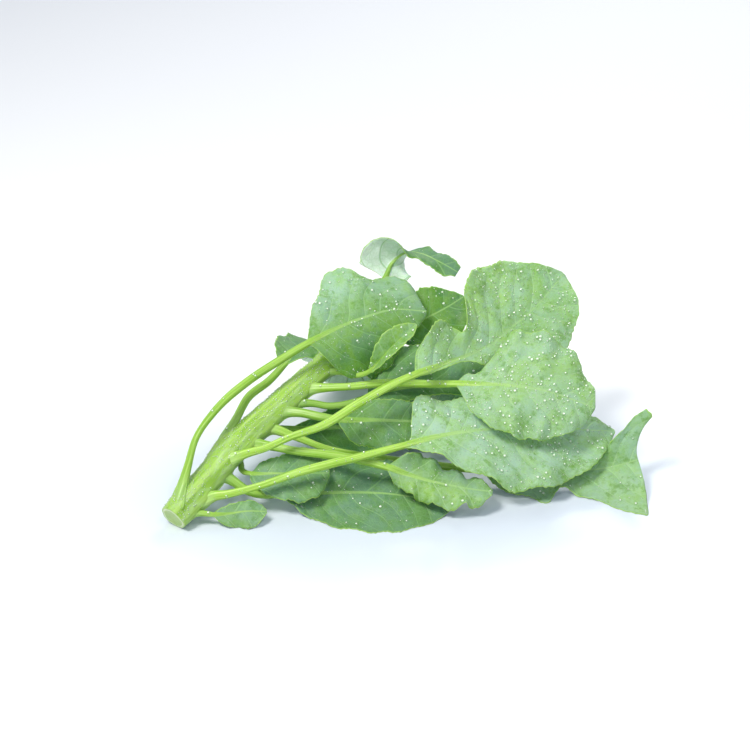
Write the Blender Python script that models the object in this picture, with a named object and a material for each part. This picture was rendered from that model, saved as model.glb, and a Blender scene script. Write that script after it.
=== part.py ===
"""One shoot of Chinese kale, cut from its plant and lying on a table: a thick stem and its sixteen leaves.

Lengths are in millimetres until a mesh is written in metres. X runs from the cut end to the leaf tips,
Z is up, and the table is Z = 0. The stem and each leaf are solids of their own.
"""

import math
import random

import bpy
import numpy as np

MM = 0.001

# The stem: its axis from the cut end to the growing tip, and its radius at shares of that length.
STEM_AXIS = ((-119, -63, 7.2), (-101, -39, 18), (-80, -13, 31), (-56, 11, 43), (-35, 33, 52), (-17, 51, 58), (-3, 65, 61))
STEM_RADIUS = ((0.0, 7.8), (0.08, 7.9), (0.3, 8.1), (0.5, 7.8), (0.7, 7.4), (0.85, 6.6), (0.95, 5.0), (1.0, 1.8))
STEM_SIDES = 20
STEM_RINGS = 30
STEM_RIBS = 5
STEM_RIB_HEIGHT = 0.22
NODE_SWELLING = 0.55
NODE_LENGTH = 4.5
JOINT_GAP = 0.3

# The leaves: a petiole and its blade are one skin, with the midrib as a thickening of the blade.
BLADE_THICKNESS = 0.8
HALF_COLUMNS = 4
PETIOLE_RINGS = 8
ROOT_RADIUS = 4.2
ROOT_SPREAD = 1.25
ROOT_LENGTH = 14.0
PETIOLE_RADIUS = 2.75
BLADE_BASE_RADIUS = 2.5
MIDRIB_MIDDLE_RADIUS = 1.2
MIDRIB_TIP_RADIUS = 0.45
MARGIN_WOBBLE = 0.035
TABLE_EASE = 2.0
PRESSED_FLAT = 0.3

STEM_GREEN = (0.40, 0.62, 0.13)
LEAF_GREEN = (0.27, 0.45, 0.22)


def through(knots, values, at):
    """A smooth curve through values at knots, read at the given places."""
    knots = np.asarray(knots, float)
    values = np.asarray(values, float)
    at = np.atleast_1d(np.asarray(at, float))
    steps = np.diff(knots)
    wide = values.reshape(len(knots), -1)
    slopes = np.diff(wide, axis=0) / steps[:, None]
    tangents = np.empty_like(wide)
    tangents[0], tangents[-1] = slopes[0], slopes[-1]
    share = (steps[:-1] / (steps[:-1] + steps[1:]))[:, None]
    tangents[1:-1] = slopes[:-1] * (1 - share) + slopes[1:] * share
    i = np.clip(np.searchsorted(knots, at, side="right") - 1, 0, len(knots) - 2)
    h = steps[i][:, None]
    t = ((at - knots[i]) / steps[i])[:, None]
    t = np.clip(t, 0, 1)
    found = (
        wide[i] * (1 + 2 * t) * (1 - t) ** 2
        + tangents[i] * h * t * (1 - t) ** 2
        + wide[i + 1] * t * t * (3 - 2 * t)
        - tangents[i + 1] * h * t * t * (1 - t)
    )
    return found.reshape((len(at),) + values.shape[1:])


def lengths_along(points):
    """The distance of each point from the first, along the line that joins them."""
    steps = np.linalg.norm(np.diff(np.asarray(points, float), axis=0), axis=1)
    return np.concatenate([[0.0], np.cumsum(steps)])


def unit(vectors):
    return vectors / np.linalg.norm(vectors, axis=-1, keepdims=True)


def ease(x):
    """0 below 0, 1 above 1, and smooth between."""
    x = np.clip(x, 0.0, 1.0)
    return x * x * (3 - 2 * x)


def tangents_of(points):
    return unit(np.gradient(points, axis=0))


def node_object(name, vertices, faces, material):
    """A mesh object of this name, from points in millimetres."""
    mesh = bpy.data.meshes.new(name)
    mesh.from_pydata([tuple(p * MM) for p in vertices], [], faces)
    mesh.shade_smooth()
    mesh.set_sharp_from_angle(angle=math.radians(50))
    mesh.materials.append(material)
    made = bpy.data.objects.new(name, mesh)
    bpy.context.scene.collection.objects.link(made)
    return made


def plant_material(name, colour, roughness):
    made = bpy.data.materials.new(name)
    made.use_nodes = True
    shader = made.node_tree.nodes["Principled BSDF"]
    shader.inputs["Base Color"].default_value = (*colour, 1.0)
    shader.inputs["Roughness"].default_value = roughness
    shader.inputs["Metallic"].default_value = 0.0
    return made


def stem_skin(nodes_at, grown=0.0):
    """The stem's vertices and faces, with a swelling at each leaf's place and grown outwards by a margin."""
    knots = lengths_along(STEM_AXIS)
    length = knots[-1]
    along = np.linspace(0, length, STEM_RINGS)
    axis = through(knots, STEM_AXIS, along)
    ahead = tangents_of(axis)
    side = unit(np.cross(ahead, (0.0, 0.0, 1.0)))
    over = np.cross(side, ahead)
    shares, radii = zip(*STEM_RADIUS)
    radius = through(shares, radii, along / length) + grown
    for place in nodes_at:
        radius += NODE_SWELLING * np.exp(-(((along - place) / NODE_LENGTH) ** 2))
    turn = np.linspace(0, 2 * math.pi, STEM_SIDES, endpoint=False)
    ribbed = radius[:, None] + STEM_RIB_HEIGHT * np.cos(STEM_RIBS * turn)[None, :] * (radius / radius.max())[:, None]
    rings = (
        axis[:, None, :]
        + side[:, None, :] * (ribbed * np.cos(turn))[:, :, None]
        + over[:, None, :] * (ribbed * np.sin(turn))[:, :, None]
    )
    vertices = rings.reshape(-1, 3)
    vertices[vertices[:, 2] < PRESSED_FLAT, 2] = 0.0
    ends = np.array([axis[0], axis[-1] + ahead[-1] * radius[-1]])
    first, last = len(vertices), len(vertices) + 1
    faces = []
    for ring in range(STEM_RINGS - 1):
        for i in range(STEM_SIDES):
            j = (i + 1) % STEM_SIDES
            a, b = ring * STEM_SIDES + i, ring * STEM_SIDES + j
            faces.append((a, a + STEM_SIDES, b + STEM_SIDES, b))
    top = (STEM_RINGS - 1) * STEM_SIDES
    for i in range(STEM_SIDES):
        j = (i + 1) % STEM_SIDES
        faces.append((first, i, j))
        faces.append((last, top + j, top + i))
    return np.vstack([vertices, ends]), faces


def leaf_grid(petiole, midrib, faces_up, outline, bend, wave, ribs, lean=((0, 0), (0, 0)), thin=1.0):
    """The leaf's middle surface, and how far its two faces stand off it: arrays of rows along and columns across."""
    path = np.array(list(petiole) + list(midrib[1:]), float)
    knots = lengths_along(path)
    base = knots[len(petiole) - 1]
    blade = knots[-1] - base
    stalk = np.linspace(0, base, PETIOLE_RINGS, endpoint=False)
    share = np.concatenate([np.zeros(PETIOLE_RINGS), np.linspace(0, 1, ribs)])
    along = np.concatenate([stalk, base + blade * np.linspace(0, 1, ribs)])
    spine = through(knots, path, along)
    ahead = tangents_of(spine)
    up_knots = np.concatenate([[0.0], base + blade * np.linspace(0, 1, len(faces_up) - 1)])
    up = through(up_knots, faces_up, along)
    up = unit(up - ahead * (up * ahead).sum(1, keepdims=True))
    right = np.cross(ahead, up)

    # The rib is the petiole's own radius, which tapers along the blade.
    rib_knots = (0.0, ROOT_LENGTH, base * 0.6, base, base + blade * 0.5, knots[-1])
    rib_radii = (
        ROOT_RADIUS, PETIOLE_RADIUS * 1.08, PETIOLE_RADIUS,
        BLADE_BASE_RADIUS, MIDRIB_MIDDLE_RADIUS, MIDRIB_TIP_RADIUS,
    )
    rib = through(rib_knots, np.array(rib_radii) * thin, along)
    spread = 1 + (ROOT_SPREAD - 1) * (1 - ease(along / ROOT_LENGTH))

    shares, left_width, right_width = zip(*outline)
    draw = random.Random(wave[2])
    phases = [draw.uniform(0, 2 * math.pi) for _ in range(6)]
    started = ease(share / 0.08)
    columns = np.linspace(0, 1, HALF_COLUMNS + 1)
    halves = []
    for sign, widths, first_phase in ((-1, left_width, 0), (1, right_width, 3)):
        width = np.maximum(through(shares, widths, share), 0.3)
        wobble = np.sin(2 * math.pi * 5 * share + phases[first_phase]) * MARGIN_WOBBLE * started
        width = np.where(share > 0, np.maximum(width * (1 + wobble), rib * 0.7), rib * spread)
        near = np.minimum(rib, 0.4 * width)
        c = near[:, None] + (width - near)[:, None] * (columns[None, 1:] - columns[1]) / (1 - columns[1])
        c = np.hstack([np.zeros((len(along), 1)), c])
        t = c / width[:, None]
        which = 0 if sign < 0 else 1
        angles = np.radians([[station[which * 2], station[which * 2 + 1]] for station in bend])
        angles = through(np.linspace(0, 1, len(bend)), angles, share) * started[:, None]
        fold, curl = angles[:, :1], angles[:, 1:]
        curl = np.where(np.abs(curl) < 1e-3, 1e-3, curl)
        radius = width[:, None] / curl
        out = radius * (np.sin(fold + curl * t) - np.sin(fold))
        lift = radius * (np.cos(fold) - np.cos(fold + curl * t))
        swing = np.sin(2 * math.pi * wave[1] * share + phases[first_phase + 1])
        swing += 0.5 * np.sin(2 * math.pi * wave[1] * 1.7 * share + phases[first_phase + 2])
        lift += wave[0] * t**2 * (swing * started * np.minimum(1, width / 12))[:, None]
        swept = through(np.linspace(0, 1, len(lean)), [pair[which] for pair in lean], share)
        swept = (swept * width * started)[:, None] * t**2
        half = (
            spine[:, None, :]
            + right[:, None, :] * (sign * out)[:, :, None]
            + up[:, None, :] * lift[:, :, None]
            + ahead[:, None, :] * swept[:, :, None]
        )
        halves.append((half, c))
    grid = np.concatenate([halves[0][0][:, :0:-1], halves[1][0]], axis=1)
    off_rib = np.concatenate([halves[0][1][:, :0:-1], halves[1][1]], axis=1)

    # A blade that would dip into the table eases down to lie on it.
    height = grid[:, :, 2]
    eased = TABLE_EASE * np.exp(np.minimum(height / TABLE_EASE - 1, 0))
    grid[:, :, 2] = np.where((height < TABLE_EASE) & (share > 0)[:, None], eased, height)

    round_part = np.sqrt(np.maximum(rib[:, None] ** 2 - off_rib**2, 0.0))
    above = np.maximum(BLADE_THICKNESS / 2, round_part * (0.8 - 0.5 * ease(share / 0.25))[:, None])
    below = np.maximum(BLADE_THICKNESS / 2, round_part * 0.95)
    return grid, above, below


def leaf_skin(grid, above, below):
    """Vertices and faces of the closed skin round the middle surface, lying no lower than the table."""
    normal = unit(np.cross(np.gradient(grid, axis=0), np.gradient(grid, axis=1)))
    top = grid + normal * above[:, :, None]
    bottom = grid - normal * below[:, :, None]
    for lower, upper in ((bottom, top), (top, bottom)):
        pressed = lower[:, :, 2] < PRESSED_FLAT
        lower[pressed, 2] = 0.0
        upper[pressed, 2] = np.maximum(upper[pressed, 2], BLADE_THICKNESS)
    rows, columns = grid.shape[:2]
    under = rows * columns
    faces = []
    for r in range(rows - 1):
        for c in range(columns - 1):
            a, b = r * columns + c, r * columns + c + 1
            d, e = a + columns, b + columns
            faces += [(a, e, b), (a, d, e), (under + a, under + b, under + e), (under + a, under + e, under + d)]
        left, right = r * columns, r * columns + columns - 1
        faces.append((left, under + left, under + left + columns, left + columns))
        faces.append((right, right + columns, under + right + columns, under + right))
    for c in range(columns - 1):
        last = (rows - 1) * columns + c
        faces.append((c, c + 1, under + c + 1, under + c))
        faces.append((last, under + last, under + last + 1, last + 1))
    return np.vstack([top.reshape(-1, 3), bottom.reshape(-1, 3)]), faces


# Each leaf: its petiole's points from the stem's axis to the blade, its midrib's from there to the tip,
# the way its upper face looks (at the root, then evenly along the blade), its half widths left and right at
# shares of the midrib, how each half bends (left fold, left curl, right fold, right curl, in degrees, evenly
# along the blade), its waves (height, number, seed), and its rows of points.
LEAVES = {
    "leaf_01_left": dict(
        petiole=((-108, -48, 15), (-111, -44, 31), (-106, -33, 44), (-96, -20, 54), (-76, 2, 63), (-58, 14, 70), (-40, 24, 77)),
        midrib=((-40, 24, 77), (-24, 34, 81), (-9, 43, 83), (12, 53, 84), (32, 58, 80)),
        faces_up=((-0.7, -0.3, 0.6), (0.1, -0.4, 0.9), (0.2, -0.45, 0.85), (0.2, -0.4, 0.85)),
        outline=((0, 2, 3), (0.09, 11, 21), (0.2, 21, 29), (0.32, 30, 34), (0.43, 39, 37), (0.53, 37, 35), (0.63, 28, 31),
                 (0.73, 26, 26), (0.84, 26, 19), (0.92, 19, 12), (1, 2, 2)),
        bend=((0, 6, -4, -28), (4, -8, -6, -40), (0, -20, -6, -20)),
        wave=(1.6, 3, 11),
        ribs=18,
    ),
    "leaf_02_front": dict(
        petiole=((-104, -44, 16), (-97, -49, 14), (-88, -51, 16), (-70, -49, 20), (-44, -45, 28), (-24, -40, 31),
                 (-4, -34, 33), (17, -27, 35)),
        midrib=((17, -27, 35), (35, -21, 37), (57, -14, 37), (88, -6, 34), (119, 1, 29), (147, 7, 24)),
        faces_up=((0.1, -0.8, 0.4), (0, -0.4, 0.9), (0, -0.4, 0.9), (0.1, -0.35, 0.9)),
        outline=((0, 2, 2), (0.04, 3, 4), (0.08, 13, 7), (0.13, 26, 11), (0.19, 32, 18), (0.27, 29, 25), (0.42, 29, 38),
                 (0.55, 29, 41), (0.7, 25, 37), (0.84, 17, 27), (0.94, 9, 14), (1, 1, 1)),
        bend=((16, 6, -6, -6), (-2, -8, -5, -9), (-12, -10, -4, -12), (-8, -10, -2, -10), (0, -12, 0, -8)),
        wave=(1.8, 4, 5),
        ribs=22,
        lean=((-0.1, -0.1), (0.05, 0.05)),
    ),
    "leaf_03_top_right": dict(
        petiole=((-88, -22, 27), (-80, -30, 31), (-66, -32, 36), (-50, -30, 43), (-31, -27, 49), (-10, -17, 58),
                 (6, -9, 64), (25, 3, 67)),
        midrib=((25, 3, 67), (41, 13, 68), (58, 24, 69), (70, 32, 71), (83, 42, 77), (96, 51, 84), (107, 60, 92), (117, 69, 101)),
        faces_up=((0.3, -0.7, 0.6), (0.2, -0.6, 0.75), (0.17, -0.67, 0.66), (0.17, -0.67, 0.62), (0.3, -0.6, 0.6)),
        outline=((0, 2, 2), (0.05, 14, 2.6), (0.13, 24, 2.6), (0.2, 26, 2.8), (0.27, 21, 3), (0.32, 15, 5), (0.38, 27, 12),
                 (0.48, 39, 21), (0.6, 42, 28), (0.74, 38, 31), (0.87, 28, 25), (0.95, 16, 14), (1, 2, 2)),
        bend=((22, 20, -8, 0), (14, 12, -8, 6), (4, 0, -4, 10)),
        wave=(2.0, 5, 3),
        ribs=25,
    ),
    "leaf_04_floor": dict(
        petiole=((-92, -28, 24), (-86, -36, 17), (-76, -41, 12), (-66, -42, 10), (-56, -40, 9)),
        midrib=((-56, -40, 8), (-38, -38, 8), (-17, -37, 8), (8, -37, 7), (30, -40, 5), (48, -44, 3)),
        faces_up=((0, -0.5, 0.8), (0, -0.3, 0.95), (0, -0.2, 1), (0, -0.15, 1)),
        outline=((0, 2, 2), (0.06, 18, 9), (0.14, 26, 16), (0.22, 26, 22), (0.3, 20, 27), (0.42, 22, 31), (0.6, 23, 33),
                 (0.78, 18, 27), (0.92, 9, 15), (1, 1, 1)),
        bend=((30, 20, -8, 0), (12, 6, -12, 6), (6, 0, -6, 4)),
        wave=(1.2, 4, 8),
        ribs=18,
    ),
    "leaf_05_back_floor": dict(
        petiole=((-82, -15, 30), (-84, -4, 40), (-77, 6, 49), (-65, 17, 54), (-56, 32, 57)),
        midrib=((-56, 32, 57), (-48, 50, 58), (-38, 67, 54), (-27, 81, 42), (-16, 92, 25), (-8, 99, 8), (-3, 104, -3)),
        faces_up=((-0.6, 0.1, 0.7), (-0.2, -0.1, 0.95), (-0.2, 0.35, 0.85), (-0.2, 0.8, 0.6), (-0.1, 0.8, 0.4)),
        outline=((0, 2, 2), (0.06, 9, 7), (0.18, 16, 13), (0.35, 22, 20), (0.55, 28, 29), (0.75, 25, 26), (0.9, 14, 14), (1, 2, 2)),
        bend=((14, 24, 0, -10), (8, 14, -6, -16), (-4, -10, -4, -10)),
        wave=(2.0, 4, 21),
        ribs=18,
    ),
    "leaf_06_crumpled": dict(
        petiole=((-76, -9, 33), (-66, -19, 31), (-50, -26, 31), (-30, -29, 30), (-12, -31, 28), (8, -34, 24)),
        midrib=((8, -34, 24), (20, -37, 21), (33, -40, 18), (46, -42, 16), (59, -43, 14), (70, -44, 13)),
        faces_up=((0.2, -0.8, 0.5), (0, -0.5, 0.85), (0, -0.3, 0.95), (0, -0.3, 0.95)),
        outline=((0, 2, 2), (0.08, 8, 7), (0.2, 14, 10), (0.4, 15, 13), (0.6, 14, 15), (0.8, 10, 12), (0.93, 6, 8), (1, 2, 2)),
        bend=((30, 20, -24, -24), (14, -40, -10, -24), (6, -20, 0, -16)),
        wave=(2.6, 4, 14),
        ribs=18,
    ),
    "leaf_07_far_right": dict(
        petiole=((-66, 2, 38), (-52, -10, 33), (-30, -14, 25), (0, -12, 17), (36, -11, 11), (66, -12, 8)),
        midrib=((66, -12, 8), (90, -13, 7), (115, -13, 8), (135, -13, 9), (150, -12, 12), (160, -11, 15)),
        faces_up=((0.3, -0.6, 0.6), (0, -0.3, 0.95), (0, -0.3, 0.95), (-0.1, -0.45, 0.9)),
        outline=((0, 2, 2), (0.1, 9, 12), (0.28, 12, 19), (0.38, 11, 25), (0.48, 7, 14), (0.62, 5, 19), (0.74, 7, 26),
                 (0.85, 15, 36), (0.93, 24, 42), (0.98, 26, 38), (1, 19, 26)),
        bend=((10, 0, -8, 0), (18, 16, -8, 8), (30, 30, -4, 10)),
        wave=(0.8, 3, 17),
        ribs=20,
        lean=((0, 0), (0, 0), (0.66, -0.1)),
    ),
    "leaf_08_middle": dict(
        petiole=((-57, 10, 43), (-46, 0, 43), (-34, -5, 42), (-22, -7, 41)),
        midrib=((-22, -7, 41), (-2, -6, 40), (20, -4, 38), (42, 0, 35), (60, 4, 31)),
        faces_up=((0.2, -0.7, 0.7), (0, -0.55, 0.83), (0, -0.5, 0.86), (0, -0.4, 0.9)),
        outline=((0, 2, 2), (0.08, 9, 12), (0.2, 13, 17), (0.4, 14, 18), (0.6, 13, 16), (0.8, 10, 12), (0.93, 6, 7), (1, 1, 1)),
        bend=((8, 0, -6, -10), (4, 0, -4, -8), (0, 0, 0, 0)),
        wave=(1.0, 3, 31),
        ribs=14,
    ),
    "leaf_09_right": dict(
        petiole=((-42, 26, 49), (-31, 16, 50), (-14, 14, 52), (4, 16, 53), (20, 16, 53), (36, 15, 53), (50, 12, 55)),
        midrib=((50, 12, 55), (66, 8, 57), (84, 4, 58), (104, 1, 56), (120, -1, 51), (133, -2, 46)),
        faces_up=((0.3, -0.6, 0.7), (0, -0.42, 0.9), (-0.05, -0.53, 0.83), (0.1, -0.5, 0.85)),
        outline=((0, 2, 2), (0.07, 8, 11), (0.13, 7, 19), (0.2, 14, 24), (0.3, 31, 29), (0.44, 38, 32), (0.6, 37, 32),
                 (0.76, 30, 28), (0.9, 19, 18), (0.97, 10, 10), (1, 1, 1)),
        bend=((6, 4, 0, -4), (5, -2, 0, -6), (4, -8, -4, -12), (0, -14, 0, -10)),
        wave=(1.6, 5, 9),
        ribs=22,
    ),
    "leaf_10_behind": dict(
        petiole=((-22, 46, 56), (-12, 53, 57), (0, 60, 58), (10, 65, 61)),
        midrib=((10, 65, 61), (22, 67, 66), (34, 70, 70), (46, 74, 75), (56, 78, 80)),
        faces_up=((0, -0.6, 0.8), (-0.2, -0.7, 0.65), (-0.2, -0.7, 0.65), (-0.1, -0.7, 0.7)),
        outline=((0, 2, 2), (0.1, 10, 10), (0.3, 18, 20), (0.5, 19, 24), (0.7, 17, 22), (0.88, 10, 13), (1, 1, 1)),
        bend=((8, 6, 8, 6), (4, 6, 4, 6), (0, 0, 0, 0)),
        wave=(1.2, 3, 41),
        ribs=14,
    ),
    "leaf_11_top": dict(
        petiole=((-17, 51, 58), (-13, 60, 64), (-9, 71, 70), (-3, 80, 79), (6, 85, 89)),
        midrib=((6, 85, 89), (11, 90, 98), (18, 94, 103), (29, 92, 103), (41, 88, 99), (52, 84, 94)),
        faces_up=((0, 0.3, 0.9), (0, 0.9, -0.2), (0.1, 0.8, 0.3), (0.2, 0.1, 0.9), (0.3, -0.4, 0.9), (0.3, -0.5, 0.8)),
        outline=((0, 2, 2), (0.05, 11, 14), (0.12, 15, 19), (0.2, 15, 22), (0.3, 12, 20), (0.4, 10, 15), (0.5, 9, 10),
                 (0.62, 8, 8), (0.78, 8, 8), (0.92, 7, 7), (1, 4, 4)),
        bend=((0, 0, 0, 10), (0, 0, 0, 0), (0, 0, 0, 0)),
        wave=(1.0, 3, 51),
        ribs=20,
        lean=((0, -0.1), (0, 0)),
    ),
    "leaf_12_young": dict(
        petiole=((-30, 38, 54), (-21, 27, 55), (-11, 17, 58), (-3, 12, 64)),
        midrib=((-3, 12, 64), (3, 13, 71), (10, 16, 78), (18, 21, 84), (25, 27, 88)),
        faces_up=((0.2, -0.6, 0.7), (-0.2, -0.7, 0.6), (-0.3, -0.6, 0.6), (-0.3, -0.6, 0.6)),
        outline=((0, 1.5, 1.5), (0.15, 5, 5), (0.4, 9, 9), (0.65, 9, 9), (0.85, 6, 6), (1, 1, 1)),
        bend=((40, 10, 40, 10), (36, 10, 36, 10), (30, 0, 30, 0)),
        wave=(0.5, 3, 61),
        ribs=12,
    ),
    "leaf_13_inner": dict(
        petiole=((-50, 17, 46), (-40, 11, 43), (-28, 9, 41), (-16, 12, 41), (-4, 17, 43)),
        midrib=((-4, 17, 43), (14, 21, 46), (32, 22, 47), (50, 23, 47), (68, 25, 46), (82, 28, 44)),
        faces_up=((0.2, -0.7, 0.7), (0, -0.55, 0.8), (0, -0.5, 0.85), (0, -0.5, 0.85)),
        outline=((0, 2, 2), (0.08, 14, 5), (0.18, 26, 8), (0.3, 30, 8), (0.5, 26, 6), (0.7, 21, 6), (0.88, 12, 5), (1, 1, 1)),
        bend=((4, 4, -4, 0), (0, 0, -4, 0), (0, 0, 0, 0)),
        wave=(1.0, 3, 71),
        ribs=16,
    ),
    "leaf_14_underneath": dict(
        petiole=((-72, -5, 35), (-66, 6, 27), (-58, 13, 22), (-50, 18, 19)),
        midrib=((-50, 18, 19), (-28, 26, 15), (-8, 33, 12), (14, 38, 12), (40, 42, 11), (66, 44, 9), (90, 44, 6), (106, 43, 4)),
        faces_up=((-0.3, 0.3, 0.9), (0, -0.4, 0.9), (0, -0.35, 0.9), (0, -0.3, 0.95)),
        outline=((0, 2, 2), (0.06, 6, 9), (0.15, 12, 20), (0.28, 17, 23), (0.4, 20, 22), (0.52, 26, 23), (0.65, 28, 25),
                 (0.79, 24, 22), (0.92, 13, 12), (1, 1, 1)),
        bend=((6, 6, 0, 0), (0, 0, 0, 6), (0, 0, 0, 0)),
        wave=(1.5, 4, 81),
        ribs=16,
    ),
    "leaf_15_by_stem": dict(
        petiole=((-82, -15, 30), (-81, -17, 17), (-80, -26, 17), (-74, -33, 19)),
        midrib=((-74, -33, 19), (-60, -36, 21), (-45, -36, 21), (-27, -34, 20)),
        faces_up=((0.3, 0.3, 0.9), (0, -0.45, 0.9), (0, -0.45, 0.9), (0, -0.45, 0.9)),
        outline=((0, 2, 2), (0.1, 7, 9), (0.3, 10, 15), (0.55, 15, 18), (0.75, 17, 17), (0.92, 9, 10), (1, 1, 1)),
        bend=((8, 0, -6, 0), (4, 0, -4, -10), (0, 0, 0, -10)),
        wave=(0.9, 3, 91),
        ribs=14,
    ),
    "leaf_16_small_front": dict(
        petiole=((-111, -52, 12.5), (-103, -58, 8), (-95, -59, 7)),
        midrib=((-95, -59, 7), (-86, -58, 7), (-76, -57, 8), (-64, -56, 7)),
        faces_up=((0, -0.3, 0.9), (0, -0.4, 0.9), (0, -0.5, 0.85), (0, -0.5, 0.85)),
        outline=((0, 1.5, 1.5), (0.15, 4, 6), (0.4, 6, 10), (0.65, 7, 11), (0.88, 5, 7), (1, 1, 1)),
        bend=((14, 0, -16, -20), (8, 0, -10, -20), (0, 0, 0, 0)),
        wave=(1.3, 3, 101),
        ribs=12,
    ),
}
YOUNG_SCALE = {
    "leaf_12_young": 0.62, "leaf_10_behind": 0.8, "leaf_11_top": 0.8, "leaf_13_inner": 0.8,
    "leaf_15_by_stem": 0.65, "leaf_16_small_front": 0.65,
}


def places_on_stem():
    """How far along the stem's axis each leaf grows."""
    knots = lengths_along(STEM_AXIS)
    fine = np.linspace(0, knots[-1], 200)
    axis = through(knots, STEM_AXIS, fine)
    return [fine[np.linalg.norm(axis - leaf["petiole"][0], axis=1).argmin()] for leaf in LEAVES.values()]


def cut_by_stem(leaf, cutter):
    """Ends the petiole at the stem's surface, a joint gap off it."""
    cut = leaf.modifiers.new("Seat on the stem", "BOOLEAN")
    cut.operation = "DIFFERENCE"
    cut.object = cutter


def middle_of(objects):
    """The middle of the whole shoot's footprint, in metres."""
    bpy.context.view_layer.update()
    graph = bpy.context.evaluated_depsgraph_get()
    points = [v.co[:] for made in objects for v in made.evaluated_get(graph).data.vertices]
    lowest, highest = np.min(points, axis=0), np.max(points, axis=0)
    return (lowest + highest) / 2


def main():
    for old in list(bpy.data.objects):
        bpy.data.objects.remove(old)
    stem_green = plant_material("stem_flesh", STEM_GREEN, 0.42)
    leaf_green = plant_material("leaf_blade", LEAF_GREEN, 0.5)
    places = places_on_stem()
    made = [node_object("stem", *stem_skin(places), stem_green)]
    cutter = node_object("stem_margin", *stem_skin(places, grown=JOINT_GAP), stem_green)
    cutter.hide_render = True
    cutter.display_type = "WIRE"
    for name, shape in LEAVES.items():
        skin = leaf_skin(*leaf_grid(**shape, thin=YOUNG_SCALE.get(name, 1.0)))
        leaf = node_object(name, *skin, leaf_green)
        cut_by_stem(leaf, cutter)
        made.append(leaf)
    middle = middle_of(made)
    for thing in made + [cutter]:
        thing.location = (-middle[0], -middle[1], 0.0)


main()
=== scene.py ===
"""One cut shoot of Chinese kale lying on a pale table, with water drops on its leaves and stem.

Shapes are worked out in millimetres, with the table at 0, X from the cut end to the leaf tips and Z up.
"""

import math
import random
from types import SimpleNamespace

import bpy
import numpy as np
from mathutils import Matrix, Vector


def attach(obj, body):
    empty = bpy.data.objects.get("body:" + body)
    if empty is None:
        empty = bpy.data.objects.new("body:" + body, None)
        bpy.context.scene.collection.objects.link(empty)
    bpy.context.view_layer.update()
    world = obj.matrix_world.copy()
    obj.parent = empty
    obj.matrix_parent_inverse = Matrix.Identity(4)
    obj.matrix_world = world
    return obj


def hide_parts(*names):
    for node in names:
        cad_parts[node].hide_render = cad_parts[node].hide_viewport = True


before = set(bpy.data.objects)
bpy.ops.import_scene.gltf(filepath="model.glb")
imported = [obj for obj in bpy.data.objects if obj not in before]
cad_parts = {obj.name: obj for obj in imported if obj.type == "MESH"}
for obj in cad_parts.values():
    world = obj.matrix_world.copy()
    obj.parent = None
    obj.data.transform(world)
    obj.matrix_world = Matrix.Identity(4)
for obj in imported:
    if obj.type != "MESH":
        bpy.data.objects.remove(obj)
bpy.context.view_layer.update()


# The stem
# A thick, smooth, juicy stem, cut flat at its lower end. Its waxy skin has faint ribs and swells a little
# where each leaf grows. The whole shoot is laid out from its axis.

MM = 0.001
# The part stands with the middle of its footprint over the origin. This is that middle where it was laid out.
FOOTPRINT_MIDDLE = np.array((20.4318, 17.7886, 0.0))
STEM_AXIS = (
    (-119, -63, 7.2), (-101, -39, 18), (-80, -13, 31), (-56, 11, 43),
    (-35, 33, 52), (-17, 51, 58), (-3, 65, 61),
)
# Shares of the stem's length, each with the radius there.
STEM_RADIUS = (
    (0.0, 7.8), (0.08, 7.9), (0.3, 8.1), (0.5, 7.8), (0.7, 7.4), (0.85, 6.6), (0.95, 5.0), (1.0, 1.8),
)
# Where each leaf grows: a point on the axis, and one that its petiole passes outside the skin.
LEAF_ROOTS = (
    ((-108, -48, 15), (-111, -44, 31)), ((-104, -44, 16), (-97, -49, 14)),
    ((-88, -22, 27), (-80, -30, 31)), ((-92, -28, 24), (-86, -36, 17)),
    ((-82, -15, 30), (-84, -4, 40)), ((-76, -9, 33), (-66, -19, 31)),
    ((-66, 2, 38), (-52, -10, 33)), ((-57, 10, 43), (-46, 0, 43)),
    ((-42, 26, 49), (-31, 16, 50)), ((-22, 46, 56), (-12, 53, 57)),
    ((-17, 51, 58), (-13, 60, 64)), ((-30, 38, 54), (-21, 27, 55)),
    ((-50, 17, 46), (-40, 11, 43)), ((-72, -5, 35), (-66, 6, 27)),
    ((-82, -15, 30), (-81, -17, 17)), ((-111, -52, 12.5), (-103, -58, 8)),
)
NODE_SWELLING = 0.45
NODE_REACH = 4.5
# A leaf's base is a low swelling on the leaf's side, highest a little below it, that runs on down the stem.
LEAF_BASE_HEIGHT = 2.0
LEAF_BASE_DROP = 5.0
LEAF_BASE_BELOW = 13.0
LEAF_BASE_ABOVE = 6.0
LEAF_BASE_ANGLE = 0.62
SHEATH_LINE_ANGLE = 0.12
# The ribs: how high they are, how many go round the stem, and their twist in radians for each millimetre.
RIBS = ((0.22, 5, 0.0), (0.07, 13, 1 / 23), (0.06, 21, -1 / 31))
PITH_DEPTH = 0.35
FIBRE_RING_HEIGHT = 0.14
SKIN_RADIUS = 8.0
STEM_SIDES = 72
STEM_RINGS = 220
CUT_RINGS = 12
SMOOTH = {"interpolation_type": "SMOOTHSTEP"}
RGBA = {"data_type": "RGBA"}


def linear(hex_colour):
    """An sRGB hex colour as the linear values that Blender's sockets hold."""
    parts = [int(hex_colour[i:i + 2], 16) / 255 for i in (1, 3, 5)]
    return tuple(p / 12.92 if p <= 0.04045 else ((p + 0.055) / 1.055) ** 2.4 for p in parts) + (1.0,)


def add(tree, kind, sockets=None, **settings):
    """A new node with these settings, its sockets set to values or linked to other nodes' outputs."""
    node = tree.nodes.new(kind)
    for name, value in settings.items():
        setattr(node, name, value)
    for key, value in (sockets or {}).items():
        if isinstance(value, bpy.types.NodeSocket):
            tree.links.new(value, node.inputs[key])
        else:
            node.inputs[key].default_value = value
    return node


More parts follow.
